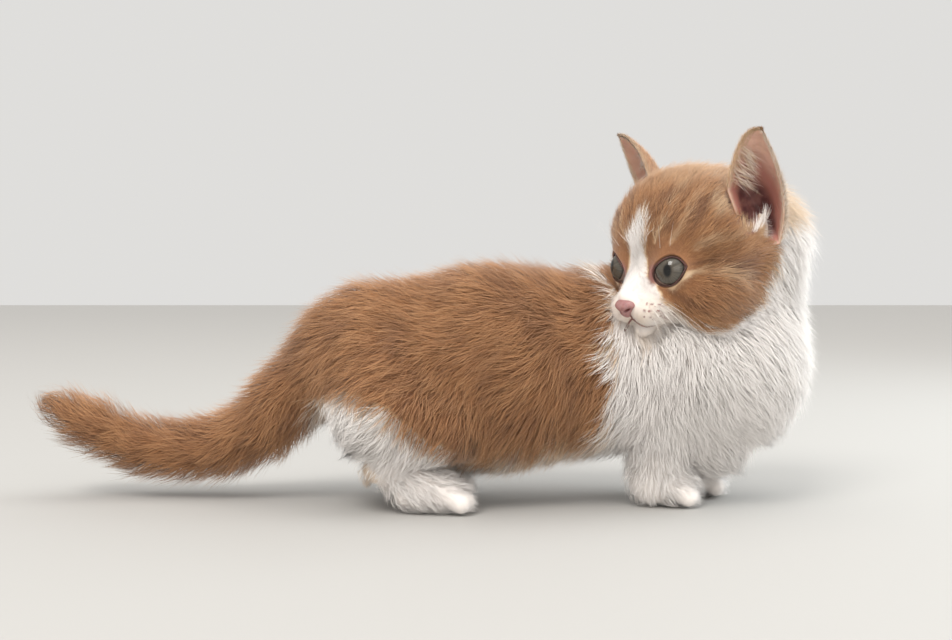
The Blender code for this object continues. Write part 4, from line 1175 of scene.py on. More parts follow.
def ear_tufts(name, ear, finish, draw):
    """Short ginger fur on the back, a fringe round the rim, and long pale hairs inside."""
    groups = []
    back, edge, fringe, inside, base = 6500, 2400, 3000, 190, 190

    share = draw.uniform(0.0, 0.99, back)
    turn = draw.uniform(-1, 1, back)
    normal, way = ear.outward(share, turn), ear.tipward(share, turn)
    root = ear.points(share, turn) + normal * 0.0002
    lengths = draw.uniform(0.0034, 0.0056, back) * (1 - 0.5 * share**2)
    rimward = np.maximum(ramp(np.abs(turn), 0.40, 0.90), ramp(share, 0.78, 0.96))[:, None]
    round_rim = 0.8 * way + ear.chord * np.sign(turn)[:, None] * 0.3 - normal * 0.35
    facing = unit(normal * (1 - rimward) + round_rim * rimward)
    groups.append((root, way, normal * 0.30, facing, lengths, 0.00030, 0.90, share))

    share = draw.uniform(0.0, 0.97, edge)
    turn = draw.uniform(0.62, 1.0, edge) ** 0.7
    turn = np.where(draw.random(edge) < 0.62, -turn, 0.35 + 0.65 * turn)
    normal, way = ear.outward(share, turn), ear.tipward(share, turn)
    outside = ear.chord * np.sign(turn)[:, None]
    lengths = draw.uniform(0.0020, 0.0042, edge) * (1 - 0.45 * share**3)
    mark = np.where(turn < 0, 0.62, 0.34)
    groups.append((ear.points(share, turn) - normal * 0.0003, way + 0.35 * outside, -normal * 0.35,
                   unit(0.8 * way - 0.5 * normal), lengths, 0.00020, mark, share))

    share = draw.uniform(0.0, 0.995, fringe) ** 0.9
    turn = np.sign(draw.uniform(-1, 1, fringe)) * draw.uniform(0.90, 1.0, fringe)
    normal, way = ear.outward(share, turn), ear.tipward(share, turn)
    outside = ear.chord * np.sign(turn)[:, None]
    lengths = draw.uniform(0.0020, 0.0046, fringe) * (1 - 0.60 * share**3)
    mark = np.where(turn > 0, 0.28, 0.60)
    lift = outside * 0.25 - normal * draw.uniform(-0.15, 0.30, fringe)[:, None]
    lean = outside * draw.uniform(0.15, 0.95, fringe)[:, None]
    groups.append((ear.points(share, turn), way + lean, lift, unit(0.9 * way + 0.2 * outside - 0.5 * normal),
                   lengths, 0.00018, mark, share))

    share = draw.uniform(0.10, 0.62, inside)
    turn = -draw.uniform(0.50, 0.98, inside)
    normal, way = ear.outward(share, turn), ear.tipward(share, turn)
    spread_way = way * draw.uniform(-0.25, 0.55, inside)[:, None] + ear.chord
    lengths = draw.uniform(0.0045, 0.0105, inside) * (1 - 0.4 * share)
    groups.append((ear.points(share, turn) - normal * 0.0004, spread_way, -normal * 0.45,
                   unit(0.8 * way - 0.6 * normal), lengths, 0.00013, 0.30, share))

    back_share = draw.uniform(-1, 1, base)
    spot = hollow_centre(ear.side) - FORWARD * (0.0080 * back_share)[:, None]
    spot = spot - UP * (0.0102 - 0.0036 * back_share**2 - 0.0008 * draw.random(base))[:, None]
    spot = spot + ear.side * LEFT * draw.uniform(-0.001, 0.0020, base)[:, None]
    lock = np.round(back_share * 5.5) / 5.5 + 0.05 * np.sin(37 * np.round(back_share * 5.5))
    bend = 0.30 * back_share + 0.9 * (back_share - lock)
    way = UP + ear.side * LEFT * draw.uniform(-0.05, 0.22, base)[:, None] - FORWARD * bend[:, None]
    lengths = draw.uniform(0.0045, 0.0100, base) * (0.75 + 0.25 * np.abs(back_share))
    mark = np.where(back_share + draw.normal(0, 0.12, base) < -0.05, 0.62, 0.03)
    lift = np.tile(ear.side * LEFT, (base, 1)) * 0.4
    facing = np.tile(unit(ear.side * LEFT + 0.5 * UP + 0.3 * FORWARD), (base, 1))
    groups.append((spot, way, lift, facing, lengths, 0.00020, mark, 0.5 + 0.5 * back_share))

    paths, ways, lifts, faces, widths, ginger, uv = [], [], [], [], [], [], []
    for number, (root, way, lift, facing, lengths, width, mark, share) in enumerate(groups):
        count = len(root)
        way = unit(way + draw.normal(0, 0.14, (count, 3)))
        paths.append(straight_paths(root, way, lift, lengths, 3))
        ways.append(way)
        lifts.append(unit(lift + 1e-6))
        faces.append(facing)
        widths.append(width * draw.uniform(0.8, 1.2, count))
        ginger.append(np.clip(mark + draw.normal(0, 0.10, count), 0, 1))
        uv.append(np.stack((0.02 + 0.195 * number + 0.17 * draw.random(count), 0.05 + 0.9 * np.clip(share, 0, 1)), 1))
    paths, ways, lifts, faces = (np.concatenate(rows) for rows in (paths, ways, lifts, faces))
    across = unit(np.cross(lifts, ways))
    total = len(paths)
    fields = {"ginger": np.concatenate(ginger), "streak": np.zeros(total), "tuft": draw.random(total)}
    rise = unit(np.cross(ways, across))
    widths, uv = np.concatenate(widths), np.concatenate(uv)
    parts = []
    short = back + edge + fringe
    for chosen, steps in ((slice(0, short), (0, 2)), (slice(short, total), (0, 1, 2))):
        carried = {title: values[chosen] for title, values in fields.items()}
        parts.append(tuft_arrays(paths[chosen][:, steps], across[chosen], rise[chosen], faces[chosen],
                                 widths[chosen], uv[chosen], carried))
    return placed(name, tuft_mesh(name, *parts), finish)


def ear_material(name):
    material, tree, shader = new_material(name)
    deep = node(tree, "ShaderNodeAttribute", attribute_name="deep").outputs["Fac"]
    inside = node(tree, "ShaderNodeAttribute", attribute_name="inside").outputs["Fac"]
    place = node(tree, "ShaderNodeTexCoord").outputs["Object"]
    mottle = node(tree, "ShaderNodeTexNoise")
    mottle.inputs["Scale"].default_value = 260
    mottle.inputs["Detail"].default_value = 4
    link(tree, place, mottle.inputs["Vector"])
    # The inside's pink darkens to near black with deep: painted shade in the ear's hollow
    pink = mix_colours(tree, spread(tree, deep, 0.0, 0.45), (0.72, 0.48, 0.37, 1), (0.40, 0.165, 0.13, 1))
    pink = mix_colours(tree, spread(tree, deep, 0.40, 0.78), pink, (0.075, 0.018, 0.018, 1))
    mottled = mix_colours(tree, spread(tree, mottle.outputs["Fac"], 0.35, 0.7, 0.0, 0.30), pink, (0.42, 0.19, 0.15, 1))
    both = mix_colours(tree, inside, (0.42, 0.25, 0.16, 1), mottled)
    link(tree, both, shader.inputs["Base Color"])
    link(tree, spread(tree, mottle.outputs["Fac"], 0.2, 0.8, 0.42, 0.62), shader.inputs["Roughness"])
    shader.inputs["Subsurface Weight"].default_value = 0.25
    shader.inputs["Subsurface Scale"].default_value = 0.002
    bump = node(tree, "ShaderNodeBump")
    bump.inputs["Strength"].default_value = 0.25
    bump.inputs["Distance"].default_value = 0.0003
    link(tree, mottle.outputs["Fac"], bump.inputs["Height"])
    link(tree, bump.outputs["Normal"], shader.inputs["Normal"])
    return material


# Eyes

def ball_mesh(name, rings, segments):
    """A closed unit ball whose first axis runs through its poles, as points and faces."""
    angle = np.linspace(0, math.pi, rings + 1)[1:-1]
    turn = 2 * math.pi * np.arange(segments) / segments
    x = np.cos(angle)[:, None] + 0 * turn
    y = np.sin(angle)[:, None] * np.cos(turn)
    z = np.sin(angle)[:, None] * np.sin(turn)
    points = np.concatenate(([(1, 0, 0)], np.stack((x, y, z), 2).reshape(-1, 3), [(-1, 0, 0)]))
    faces = [(0, 1 + i, 1 + (i + 1) % segments) for i in range(segments)]
    for ring in range(rings - 2):
        start = 1 + ring * segments
        for i in range(segments):
            j = (i + 1) % segments
            faces.append((start + i, start + segments + i, start + segments + j, start + j))
    start, last = 1 + (rings - 2) * segments, len(points) - 1
    faces += [(last, start + (i + 1) % segments, start + i) for i in range(segments)]
    return points, faces


def eye_mesh(name, side):
    points, faces = ball_mesh(name, 48, 64)
    off_axis = np.arccos(np.clip(points[:, 0], -1, 1))
    bulge = 1 + 0.075 * (1 - ramp(off_axis, 0.15, 0.85))
    local = points * (EYE_RADIUS * bulge)[:, None]
    mesh = bpy.data.meshes.new(name)
    mesh.from_pydata((eye_centre(side) + local @ eye_frame(side) + SHIFT).tolist(), [], faces)
    closed_outwards(mesh)
    add_field(mesh, "across", local[:, 1] * 1000)
    add_field(mesh, "rise", local[:, 2] * 1000)
    add_field(mesh, "front", points[:, 0])
    mesh.shade_smooth()
    return mesh


def eye_material(name):
    """Sclera, a grey-green iris with radial fibres and a dark edge, and an upright oval pupil."""
    material, tree, shader = new_material(name)
    values = {}
    for title in ("across", "rise", "front"):
        values[title] = node(tree, "ShaderNodeAttribute", attribute_name=title).outputs["Fac"]
    flat = node(tree, "ShaderNodeCombineXYZ")
    link(tree, values["across"], flat.inputs["X"])
    raised = node(tree, "ShaderNodeMath", operation="SUBTRACT")
    link(tree, values["rise"], raised.inputs[0])
    raised.inputs[1].default_value = 0.9
    link(tree, raised.outputs[0], flat.inputs["Y"])
    reach = node(tree, "ShaderNodeVectorMath", operation="LENGTH")
    link(tree, flat.outputs["Vector"], reach.inputs[0])
    radius = reach.outputs["Value"]
    oval = node(tree, "ShaderNodeVectorMath", operation="MULTIPLY")
    link(tree, flat.outputs["Vector"], oval.inputs[0])
    oval.inputs[1].default_value = (1.0 / 1.7, 1.0 / 2.7, 1)
    pupil_reach = node(tree, "ShaderNodeVectorMath", operation="LENGTH")
    link(tree, oval.outputs["Vector"], pupil_reach.inputs[0])

    around = node(tree, "ShaderNodeVectorMath", operation="NORMALIZE")
    link(tree, flat.outputs["Vector"], around.inputs[0])
    fibres = node(tree, "ShaderNodeTexNoise")
    fibres.inputs["Scale"].default_value = 9
    fibres.inputs["Detail"].default_value = 5
    fibres.inputs["Roughness"].default_value = 0.65
    link(tree, around.outputs["Vector"], fibres.inputs["Vector"])
    edge = settings().face.iris_radius * 1000
    base = mix_colours(tree, spread(tree, radius, 1.4, edge * 0.82), (0.062, 0.050, 0.038, 1), (0.066, 0.060, 0.050, 1))
    fibred = mix_colours(tree, spread(tree, fibres.outputs["Fac"], 0.35, 0.68, 0.0, 0.55), base, (0.145, 0.125, 0.098, 1))
    ringed = mix_colours(tree, spread(tree, radius, edge * 0.86, edge * 1.02), fibred, (0.018, 0.014, 0.012, 1))
    iris = mix_colours(tree, spread(tree, radius, edge, edge + 0.25), ringed, (0.20, 0.14, 0.12, 1))
    seen = mix_colours(tree, spread(tree, pupil_reach.outputs["Value"], 0.62, 1.30), (0.003, 0.003, 0.003, 1), iris)
    whole = mix_colours(tree, spread(tree, values["front"], -0.1, 0.1), (0.50, 0.42, 0.38, 1), seen)
    link(tree, whole, shader.inputs["Base Color"])
    shader.inputs["Roughness"].default_value = 0.45
    shader.inputs["Specular IOR Level"].default_value = 0.0
    shader.inputs["Coat Weight"].default_value = 0.6
    shader.inputs["Coat Roughness"].default_value = 0.02
    shader.inputs["Coat IOR"].default_value = 1.6
    return material


def tube_points(line, radii, sides, closed):
    """A tube round a line of points, as points and faces. A tube that isn't closed gets end caps."""
    line = np.asarray(line)
    if closed:
        tangents = unit(np.roll(line, -1, 0) - np.roll(line, 1, 0))
    else:
        tangents = unit(np.gradient(line, axis=0))
    side = unit(np.cross(tangents, FORWARD + 1e-3))
    rise = np.cross(tangents, side)
    angle = 2 * math.pi * np.arange(sides) / sides
    ring = side[:, None] * np.cos(angle)[:, None] + rise[:, None] * np.sin(angle)[:, None]
    points = (line[:, None] + ring * np.asarray(radii)[:, None, None]).reshape(-1, 3)
    faces, count = [], len(line)
    for i in range(count if closed else count - 1):
        j = (i + 1) % count
        for k in range(sides):
            m = (k + 1) % sides
            faces.append((i * sides + k, i * sides + m, j * sides + m, j * sides + k))
    if not closed:
        faces.append(tuple(range(sides))[::-1])
        faces.append(tuple((count - 1) * sides + k for k in range(sides)))
    return points, faces


def joined_tubes(name, tubes):
    points, faces, start = [], [], 0
    for tube_points_, tube_faces in tubes:
        points.append(tube_points_)
        faces += [tuple(start + i for i in face) for face in tube_faces]
        start += len(tube_points_)
    mesh = bpy.data.meshes.new(name)
    mesh.from_pydata((np.concatenate(points) + SHIFT).tolist(), [], faces)
    bm = bmesh.new()
    bm.from_mesh(mesh)
    bmesh.ops.recalc_face_normals(bm, faces=bm.faces)
    bm.to_mesh(mesh)
    bm.free()
    mesh.shade_smooth()
    return mesh


def lid_rims():
    """The bare, damp edges of the lids, resting on each eye."""
    tubes = []
    for side in (-1, 1):
        across, rise = lid_outline(side, 56)
        size = EYE_RADIUS + 0.0005
        ahead = np.sqrt(np.maximum(size**2 - across**2 - rise**2, 1e-6))
        line = eye_centre(side) + np.stack((ahead, across, rise), 1) @ eye_frame(side)
        corner = ramp(np.abs(across), 0.0045, 0.0067)
        upper = ramp(rise, 0.0, 0.003)
        radii = 0.00024 + 0.00016 * upper + 0.00010 * corner
        tubes.append(tube_points(line, radii, 10, True))
    return joined_tubes("lid_rims", tubes)


def bare_material(name, colour, dark, roughness, scale):
    """Bare, damp skin with fine pores, turning deep red where the mesh's bare value is high: painted shade in the
    nose's nostrils.
    """
    material, tree, shader = new_material(name)
    place = node(tree, "ShaderNodeTexCoord").outputs["Object"]
    pores = node(tree, "ShaderNodeTexVoronoi")
    pores.inputs["Scale"].default_value = scale
    link(tree, place, pores.inputs["Vector"])
    mottle = node(tree, "ShaderNodeTexNoise")
    mottle.inputs["Scale"].default_value = scale * 0.25
    mottle.inputs["Detail"].default_value = 3
    link(tree, place, mottle.inputs["Vector"])
    colours = mix_colours(tree, spread(tree, mottle.outputs["Fac"], 0.35, 0.7), (*colour, 1), (*dark, 1))
    nostril_shade = node(tree, "ShaderNodeAttribute", attribute_name="bare").outputs["Fac"]
    # Painted shade in the nostrils, from the nose's bare attribute
    colours = mix_colours(tree, spread(tree, nostril_shade, 0.25, 0.85), colours, (0.11, 0.018, 0.018, 1))
    link(tree, colours, shader.inputs["Base Color"])
    link(tree, spread(tree, pores.outputs["Distance"], 0.0, 0.6, roughness - 0.08, roughness + 0.08),
         shader.inputs["Roughness"])
    shader.inputs["Subsurface Weight"].default_value = 0.2
    shader.inputs["Subsurface Scale"].default_value = 0.001
    bump = node(tree, "ShaderNodeBump")
    bump.inputs["Strength"].default_value = 0.35
    bump.inputs["Distance"].default_value = 0.0002
    link(tree, pores.outputs["Distance"], bump.inputs["Height"])
    link(tree, bump.outputs["Normal"], shader.inputs["Normal"])
    return material


# Nose and mouth

def nose_mesh(name):
    """The leather at the end of the muzzle: broad above, narrow below, with two sunk nostrils and a cleft."""
    points, faces = ball_mesh(name, 40, 56)
    x, y, z = points.T
    narrowing = 1.0 - 0.84 * np.maximum(0, -z) ** 0.95
    local = np.stack((x * 0.0037, y * 0.0048 * narrowing, z * np.where(z > 0, 0.0030, 0.0052)), 1)
    cleft = np.exp(-((local[:, 1] / 0.00035) ** 2)) * ramp(-z, -0.2, 0.6) * np.maximum(x, 0)
    local[:, 0] -= 0.0004 * cleft
    nostril_shade = np.zeros(len(local))
    for side in (-1, 1):
        pit = np.array((0.0030, side * 0.0025, -0.0008))
        away = (local - pit) / np.array((0.0030, 0.0016, 0.0007))
        away[:, 2] -= 0.35 * (np.abs(local[:, 1]) - 0.0025) / 0.0007
        sunk = np.exp(-(away**2).sum(1))
        nostril_shade = np.maximum(nostril_shade, sunk)
        local[:, 0] -= 0.0016 * sunk
        local[:, 1] -= side * 0.0004 * sunk
    x = head_way(0.93, 0, -0.28)
    axes = np.array((x, LEFT, np.cross(x, LEFT)))
    mesh = bpy.data.meshes.new(name)
    middle = head_place(0.0304, 0, -0.0166)
    mesh.from_pydata((middle + local @ axes + SHIFT).tolist(), [], faces)
    closed_outwards(mesh)
    # The nostrils carry a mask that darkens the leather there: painted shade in the nostrils
    add_field(mesh, "bare", nostril_shade)
    mesh.shade_smooth()
    return mesh


def lips_mesh(flesh):
    tubes = []
    for line in mouth_lines():
        fine = np.concatenate([np.linspace(a, b, 8, endpoint=False) for a, b in zip(line, line[1:])] + [[line[-1]]])
        for _ in range(3):
            value, gradient = flesh.slope(fine)
            fine = fine - gradient * (value / np.maximum((gradient**2).sum(1), 0.1))[:, None]
        radii = 0.00036 * (1 - 0.6 * np.linspace(0, 1, len(fine)) ** 3)
        tubes.append(tube_points(fine + 0.0005 * gradient, radii, 8, False))
    return joined_tubes("lips", tubes)


# Whiskers

def whisker_roots():
    """Where each whisker leaves the face, the way that it points, how long it is and how it droops."""
    longest = settings().face.whisker_length
    rows = []
    for side in (-1, 1):
        for number, (ahead, sideways, up) in enumerate(pad_spots()):
            row, i = divmod(number, 4)
            way = head_way(0.30 - 0.20 * i, side * 0.62, (-0.02, -0.20, -0.40)[row] - 0.14 * i)
            rows.append((head_place(ahead, side * sideways, up), way, longest * (0.62 + 0.13 * i) * (1 - 0.10 * row)))
        for i in range(2):
            place = head_place(0.0165 - 0.001 * i, side * (0.0105 + 0.0024 * i), 0.0044 + 0.0004 * i)
            rows.append((place, head_way(0.30, side * (0.30 + 0.18 * i), 0.90), longest * 0.42))
    return rows


def whisker_tree():
    """Geometry Nodes: a bent, tapered hair on every point, turned along the point's own way."""
    tree = bpy.data.node_groups.new("Whiskers", "GeometryNodeTree")
    face = tree.interface
    face.new_socket("Geometry", in_out="INPUT", socket_type="NodeSocketGeometry")
    for name in ("Thickness", "Bend"):
        face.new_socket(name, in_out="INPUT", socket_type="NodeSocketFloat")
    face.new_socket("Finish", in_out="INPUT", socket_type="NodeSocketMaterial")
    face.new_socket("Geometry", in_out="OUTPUT", socket_type="NodeSocketGeometry")
    given = node(tree, "NodeGroupInput").outputs
    curve = node(tree, "GeometryNodeCurveQuadraticBezier")
    curve.inputs["Resolution"].default_value = 12
    curve.inputs["Start"].default_value = (0, 0, 0)
    curve.inputs["Middle"].default_value = (0, 0, 0.5)
    bend = node(tree, "ShaderNodeCombineXYZ")
    bend.inputs["Z"].default_value = 1.0
    link(tree, given["Bend"], bend.inputs["X"])
    link(tree, bend.outputs["Vector"], curve.inputs["End"])
    way = node(tree, "GeometryNodeInputNamedAttribute", data_type="FLOAT_VECTOR")
    way.inputs["Name"].default_value = "way"
    size = node(tree, "GeometryNodeInputNamedAttribute", data_type="FLOAT")
    size.inputs["Name"].default_value = "reach"
    turned = node(tree, "FunctionNodeAlignRotationToVector", axis="Z")
    link(tree, way.outputs["Attribute"], turned.inputs["Vector"])
    upright = node(tree, "FunctionNodeAlignRotationToVector", axis="X", pivot_axis="Z")
    link(tree, turned.outputs["Rotation"], upright.inputs["Rotation"])
    upright.inputs["Vector"].default_value = (0, 0, -1)
    spots = node(tree, "GeometryNodeInstanceOnPoints")
    link(tree, given["Geometry"], spots.inputs["Points"])
    link(tree, curve.outputs["Curve"], spots.inputs["Instance"])
    link(tree, upright.outputs["Rotation"], spots.inputs["Rotation"])
    link(tree, size.outputs["Attribute"], spots.inputs["Scale"])
    real = node(tree, "GeometryNodeRealizeInstances")
    link(tree, spots.outputs["Instances"], real.inputs["Geometry"])
    along = node(tree, "GeometryNodeSplineParameter")
    taper = node(tree, "ShaderNodeMapRange")
    link(tree, along.outputs["Factor"], taper.inputs["Value"])
    taper.inputs["To Max"].default_value = 0.15
    link(tree, given["Thickness"], taper.inputs["To Min"])
    thin = node(tree, "ShaderNodeMath", operation="MULTIPLY")
    link(tree, given["Thickness"], thin.inputs[0])
    thin.inputs[1].default_value = 0.18
    link(tree, thin.outputs[0], taper.inputs["To Max"])
    ring = node(tree, "GeometryNodeCurvePrimitiveCircle")
    ring.inputs["Resolution"].default_value = 6
    ring.inputs["Radius"].default_value = 1.0
    tube = node(tree, "GeometryNodeCurveToMesh")
    link(tree, real.outputs["Geometry"], tube.inputs["Curve"])
    link(tree, ring.outputs["Curve"], tube.inputs["Profile Curve"])
    link(tree, taper.outputs["Result"], tube.inputs["Scale"])
    tube.inputs["Fill Caps"].default_value = True
    smooth = node(tree, "GeometryNodeSetShadeSmooth")
    link(tree, tube.outputs["Mesh"], smooth.inputs["Geometry"])
    finish = node(tree, "GeometryNodeSetMaterial")
    link(tree, smooth.outputs["Geometry"], finish.inputs["Geometry"])
    link(tree, given["Finish"], finish.inputs["Material"])
    link(tree, finish.outputs["Geometry"], node(tree, "NodeGroupOutput").inputs["Geometry"])
    return tree


def whisker_material(name):
    material, tree, shader = new_material(name)
    place = node(tree, "ShaderNodeTexCoord").outputs["Object"]
    grain = node(tree, "ShaderNodeTexNoise")
    grain.inputs["Scale"].default_value = 400
    link(tree, place, grain.inputs["Vector"])
    colour = mix_colours(tree, grain.outputs["Fac"], (0.92, 0.89, 0.85, 1), (0.80, 0.74, 0.68, 1))
    link(tree, colour, shader.inputs["Base Color"])
    shader.inputs["Roughness"].default_value = 0.35
    return material


def build_whiskers(flesh):
    rows = whisker_roots()
    points = np.array([row[0] for row in rows])
    for _ in range(3):
        value, gradient = flesh.slope(points)
        points = points - gradient * (value / np.maximum((gradient**2).sum(1), 0.1))[:, None]
    mesh = bpy.data.meshes.new("whiskers")
    mesh.from_pydata((points + SHIFT).tolist(), [], [])
    way = mesh.attributes.new("way", "FLOAT_VECTOR", "POINT")
    way.data.foreach_set("vector", np.array([row[1] for row in rows]).ravel())
    add_field(mesh, "reach", np.array([row[2] for row in rows]))
    obj = placed("whiskers", mesh)
    finish = the_material("whisker", whisker_material)
    tree = whisker_tree()
    modifier = obj.modifiers.new("Whiskers", "NODES")
    modifier.node_group = tree
    values = {"Thickness": 0.00006, "Bend": 0.16, "Finish": finish}
    for item in tree.interface.items_tree:
        if item.in_out == "INPUT" and item.name in values:
            modifier[item.identifier] = values[item.name]
    applied(obj)
    return obj


class CoatSettings(bpy.types.PropertyGroup):
    """The coat's colours and how densely it grows."""

    def colour(name, description, default):
        return bpy.props.FloatVectorProperty(
            name=name, description=description, default=default, subtype="COLOR", min=0, max=1
        )

    ginger: colour("Ginger", "The middle of a ginger tuft", (0.40, 0.178, 0.062))
    # Painted shade at the roots of ginger tufts, and the colour of the coat's random darker patches
    ginger_patches_and_root_shade: colour("Ginger patches and root shade", "The root of a ginger tuft", (0.235, 0.092, 0.030))
    tabby: colour("Tabby", "The dark strokes of the face and the shading of the flanks", (0.155, 0.058, 0.021))
    ginger_tip: colour("Ginger tip", "The tip of a ginger tuft", (0.62, 0.355, 0.175))
    cream: colour("Cream", "A tuft where ginger and white meet", (0.66, 0.47, 0.29))
    white: colour("White", "A white tuft", (0.93, 0.885, 0.85))
    # Painted shade at the roots of white tufts
    white_root_shade: colour("White root shade", "The root of a white tuft", (0.86, 0.78, 0.72))
    density: bpy.props.FloatProperty(
        name="Density", description="Tufts to the square millimetre on the flanks", default=2.20, min=0.05, max=4
    )
    seed: bpy.props.IntProperty(name="Seed", description="Start of the random draws", default=7, min=0)


class FaceSettings(bpy.types.PropertyGroup):
    """Sizes of the eyes and whiskers."""

    iris_radius: bpy.props.FloatProperty(
        name="Iris radius", description="From the pupil's middle to the iris's edge", default=0.0058,
        min=0.003, max=0.008, subtype="DISTANCE", unit="LENGTH", precision=4,
    )
    whisker_length: bpy.props.FloatProperty(
        name="Whisker length", description="Length of the longest whisker", default=0.034,
        min=0.005, max=0.06, subtype="DISTANCE", unit="LENGTH", precision=4,
    )


class StageSettings(bpy.types.PropertyGroup):
    """The floor and the lights."""

    floor_colour: bpy.props.FloatVectorProperty(
        name="Floor colour", description="The plain floor", default=(0.44, 0.43, 0.412), subtype="COLOR",
        min=0, max=1,
    )
    key_power: bpy.props.FloatProperty(
        name="Key light", description="Power of the main soft light", default=56.0, min=0, unit="POWER"
    )
    sun_strength: bpy.props.FloatProperty(
        name="Overhead light", description="Strength of the broad light from above", default=1.45, min=0
    )


class KittenSettings(bpy.types.PropertyGroup):
    """All the settings of the kitten."""

    coat: bpy.props.PointerProperty(type=CoatSettings, name="Coat", description="The coat's colours")
    face: bpy.props.PointerProperty(type=FaceSettings, name="Face", description="The face's sizes")
    stage: bpy.props.PointerProperty(type=StageSettings, name="Stage", description="The stage's looks")


class KITTEN_OT_skin(bpy.types.Operator):
    """Makes the skin that the coat grows from and opens it over the eyes"""

    bl_idname = "kitten.skin"
    bl_label = "Skin"

    def execute(self, context):
        flesh = Flesh()
        skin = build_skin_surface(flesh)
        cut_lids(skin)
        mesh = skin.data
        points, normals = points_of(mesh), normals_of(mesh)
        kinds = flesh.kind_at(points)
        ginger, streak = markings(points, normals, kinds)
        add_field(mesh, "ginger", ginger)
        add_field(mesh, "streak", streak)
        # The skin takes the tufts' root colours and shows dark between them: painted shade deep in the coat
        add_field(mesh, "along", np.full(len(points), 0.22))
        add_field(mesh, "tuft", np.full(len(points), 0.6))
        # The skin in and round the ears' hollows turns near black: painted shade in the hollows
        away = np.min([np.linalg.norm(points - hollow_centre(side), axis=1) for side in (-1, 1)], axis=0)
        hollow_shade = ramp(EAR_HOLLOW + 0.0010 - away, 0, 0.0016)
        add_field(mesh, "bare", np.maximum(hollow_shade, bare_places(points, kinds)))
        mesh.transform(Matrix.Translation(SHIFT))
        mesh.materials.clear()
        mesh.materials.append(coat_finish())
        mesh.shade_smooth()
        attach(skin, "root")
        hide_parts(*FLESH_NODES)
        return {"FINISHED"}


class KITTEN_OT_coat(bpy.types.Operator):
    """Grows the coat on the skin, as one piece for each part of the body"""

    bl_idname = "kitten.coat"
    bl_label = "Coat"

    def execute(self, context):
        for obj, slot in build_coat(bpy.data.objects["skin"], Flesh()):
            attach(obj, "root")
        return {"FINISHED"}


class KITTEN_OT_ears(bpy.types.Operator):
    """Makes the two cupped ears with the fur on them and in them"""

    bl_idname = "kitten.ears"
    bl_label = "Ears"

    def execute(self, context):
        draw = np.random.default_rng(settings().coat.seed + 1)
        for word, side in (("right", -1), ("left", 1)):
            ear = Ear(side)
            sheet = placed(f"ear_skin_{word}", ear_sheet(f"ear_skin_{word}", ear),
                           the_material("ear skin", ear_material))
            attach(sheet, "root")
            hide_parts(f"ear_{word}")
            tufts = ear_tufts(f"ear_coat_{word}", ear, coat_finish(), draw)
            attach(tufts, "root")
        return {"FINISHED"}


class KITTEN_OT_eyes(bpy.types.Operator):
    """Makes the eyes and the bare rims of their lids"""

    bl_idname = "kitten.eyes"
    bl_label = "Eyes"

    def execute(self, context):
        for word, side in (("right", -1), ("left", 1)):
            eye = placed(f"eyeball_{word}", eye_mesh(f"eyeball_{word}", side), the_material("eye look", eye_material))
            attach(eye, "root")
            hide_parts(f"eye_{word}")
        rims = placed("lid_rims", lid_rims(), the_material(
            "lid rim", bare_material, (0.11, 0.042, 0.033), (0.050, 0.018, 0.015), 0.52, 900))
        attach(rims, "root")
        return {"FINISHED"}


class KITTEN_OT_nose(bpy.types.Operator):
    """Makes the nose leather and the edges of the lips"""

    bl_idname = "kitten.nose"
    bl_label = "Nose and mouth"

    def execute(self, context):
        leather = placed("nose_leather", nose_mesh("nose_leather"), the_material(
            "nose look", bare_material, (0.37, 0.20, 0.19), (0.29, 0.125, 0.12), 0.45, 1400))
        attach(leather, "root")
        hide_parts("nose")
        lips = placed("lips", lips_mesh(Flesh()), the_material(
            "lip look", bare_material, (0.27, 0.135, 0.11), (0.19, 0.085, 0.075), 0.5, 900))
        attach(lips, "root")
        return {"FINISHED"}


class KITTEN_OT_whiskers(bpy.types.Operator):
    """Makes the whiskers on the lip pads and over the eyes"""

    bl_idname = "kitten.whiskers"
    bl_label = "Whiskers"

    def execute(self, context):
        whiskers = build_whiskers(Flesh())
        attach(whiskers, "root")
        return {"FINISHED"}


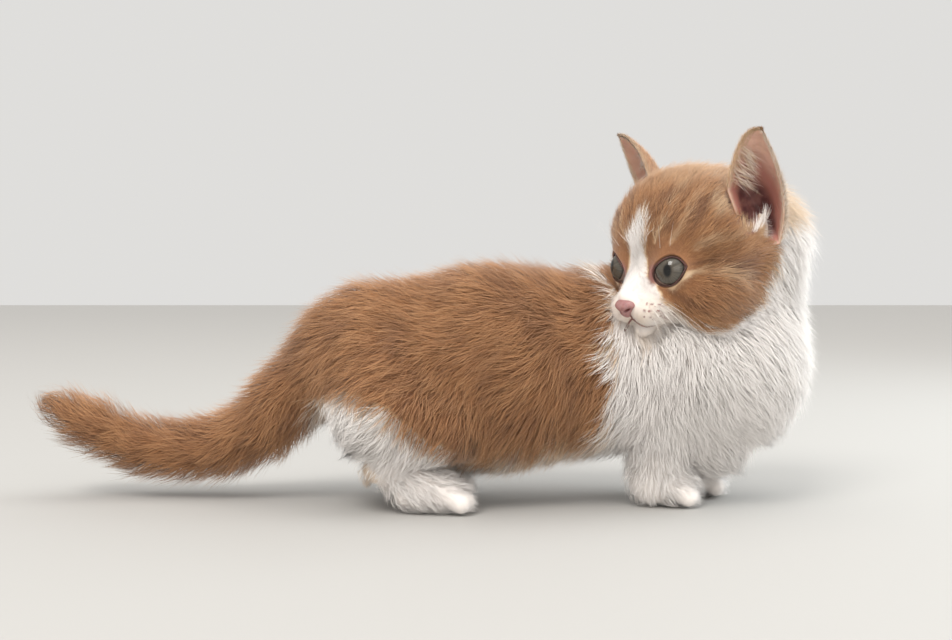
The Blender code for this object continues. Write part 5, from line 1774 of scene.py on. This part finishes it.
class KITTEN_OT_stage(bpy.types.Operator):
    """Makes the floor, the lights and the camera"""

    bl_idname = "kitten.stage"
    bl_label = "Stage"

    def execute(self, context):
        look = settings().stage
        bm = bmesh.new()
        bmesh.ops.create_grid(bm, x_segments=1, y_segments=1, size=6)
        mesh = bpy.data.meshes.new("floor")
        bm.to_mesh(mesh)
        bm.free()
        material, tree, shader = new_material("floor")
        shader.inputs["Base Color"].default_value = (*look.floor_colour, 1)
        shader.inputs["Roughness"].default_value = 0.7
        floor = placed("floor", mesh, material)

        world = bpy.data.worlds.new("studio")
        world.use_nodes = True
        back = world.node_tree.nodes["Background"]
        back.inputs["Color"].default_value = (0.86, 0.85, 0.83, 1)
        back.inputs["Strength"].default_value = 0.86
        context.scene.world = world
        context.scene.view_settings.view_transform = "Standard"
        middle = Vector((0.02, 0, 0.07))
        lights = (
            ("key", "AREA", (-0.85, -1.85, 2.35), 1.2, look.key_power, (1.0, 0.97, 0.93)),
            ("top", "SUN", (0.15, -0.25, 1.15), 1.2, look.sun_strength, (1.0, 0.98, 0.96)),
            ("rim", "AREA", (0.95, 0.10, 0.50), 0.6, look.key_power * 0.11, (0.86, 0.95, 1.0)),
            ("fill", "AREA", (0.55, -1.25, 0.24), 0.9, look.key_power * 0.080, (1.0, 0.95, 0.90)),
        )
        for name, kind, spot, size, power, colour in lights:
            lamp = bpy.data.lights.new(name, kind)
            if kind == "SUN":
                lamp.angle = size
            else:
                lamp.size = size
            lamp.energy = power
            lamp.color = colour
            obj = bpy.data.objects.new(name, lamp)
            obj.location = spot
            obj.rotation_euler = (middle - Vector(spot)).to_track_quat("-Z", "Y").to_euler()
            context.scene.collection.objects.link(obj)

        camera = bpy.data.cameras.new("camera")
        camera.sensor_width = 36
        camera.lens = 1150 / 952 * 36
        obj = bpy.data.objects.new("camera", camera)
        obj.location = Vector((0, -0.483, 0.091)) + Vector(SHIFT)
        obj.rotation_euler = (math.radians(90) - math.atan(31 / 1150), 0, 0)
        context.scene.collection.objects.link(obj)
        context.scene.camera = obj
        return {"FINISHED"}


class KITTEN_PT_panel(bpy.types.Panel):
    """Lists the kitten's pieces"""

    bl_idname = "KITTEN_PT_panel"
    bl_label = "Munchkin kitten"
    bl_space_type = "VIEW_3D"
    bl_region_type = "UI"
    bl_category = "Kitten"

    def draw(self, context):
        for operator in OPERATORS:
            self.layout.operator(operator.bl_idname)


OPERATORS = (
    KITTEN_OT_skin, KITTEN_OT_coat, KITTEN_OT_ears, KITTEN_OT_eyes, KITTEN_OT_nose, KITTEN_OT_whiskers, KITTEN_OT_stage,
)
CLASSES = (CoatSettings, FaceSettings, StageSettings, KittenSettings, *OPERATORS, KITTEN_PT_panel)


def register():
    for made in CLASSES:
        bpy.utils.register_class(made)
    bpy.types.Scene.kitten = bpy.props.PointerProperty(type=KittenSettings)


def unregister():
    del bpy.types.Scene.kitten
    for made in reversed(CLASSES):
        bpy.utils.unregister_class(made)


def main():
    register()
    bpy.ops.kitten.skin()
    bpy.ops.kitten.coat()
    bpy.ops.kitten.ears()
    bpy.ops.kitten.eyes()
    bpy.ops.kitten.nose()
    bpy.ops.kitten.whiskers()
    bpy.ops.kitten.stage()


if __name__ == "__main__":
    main()
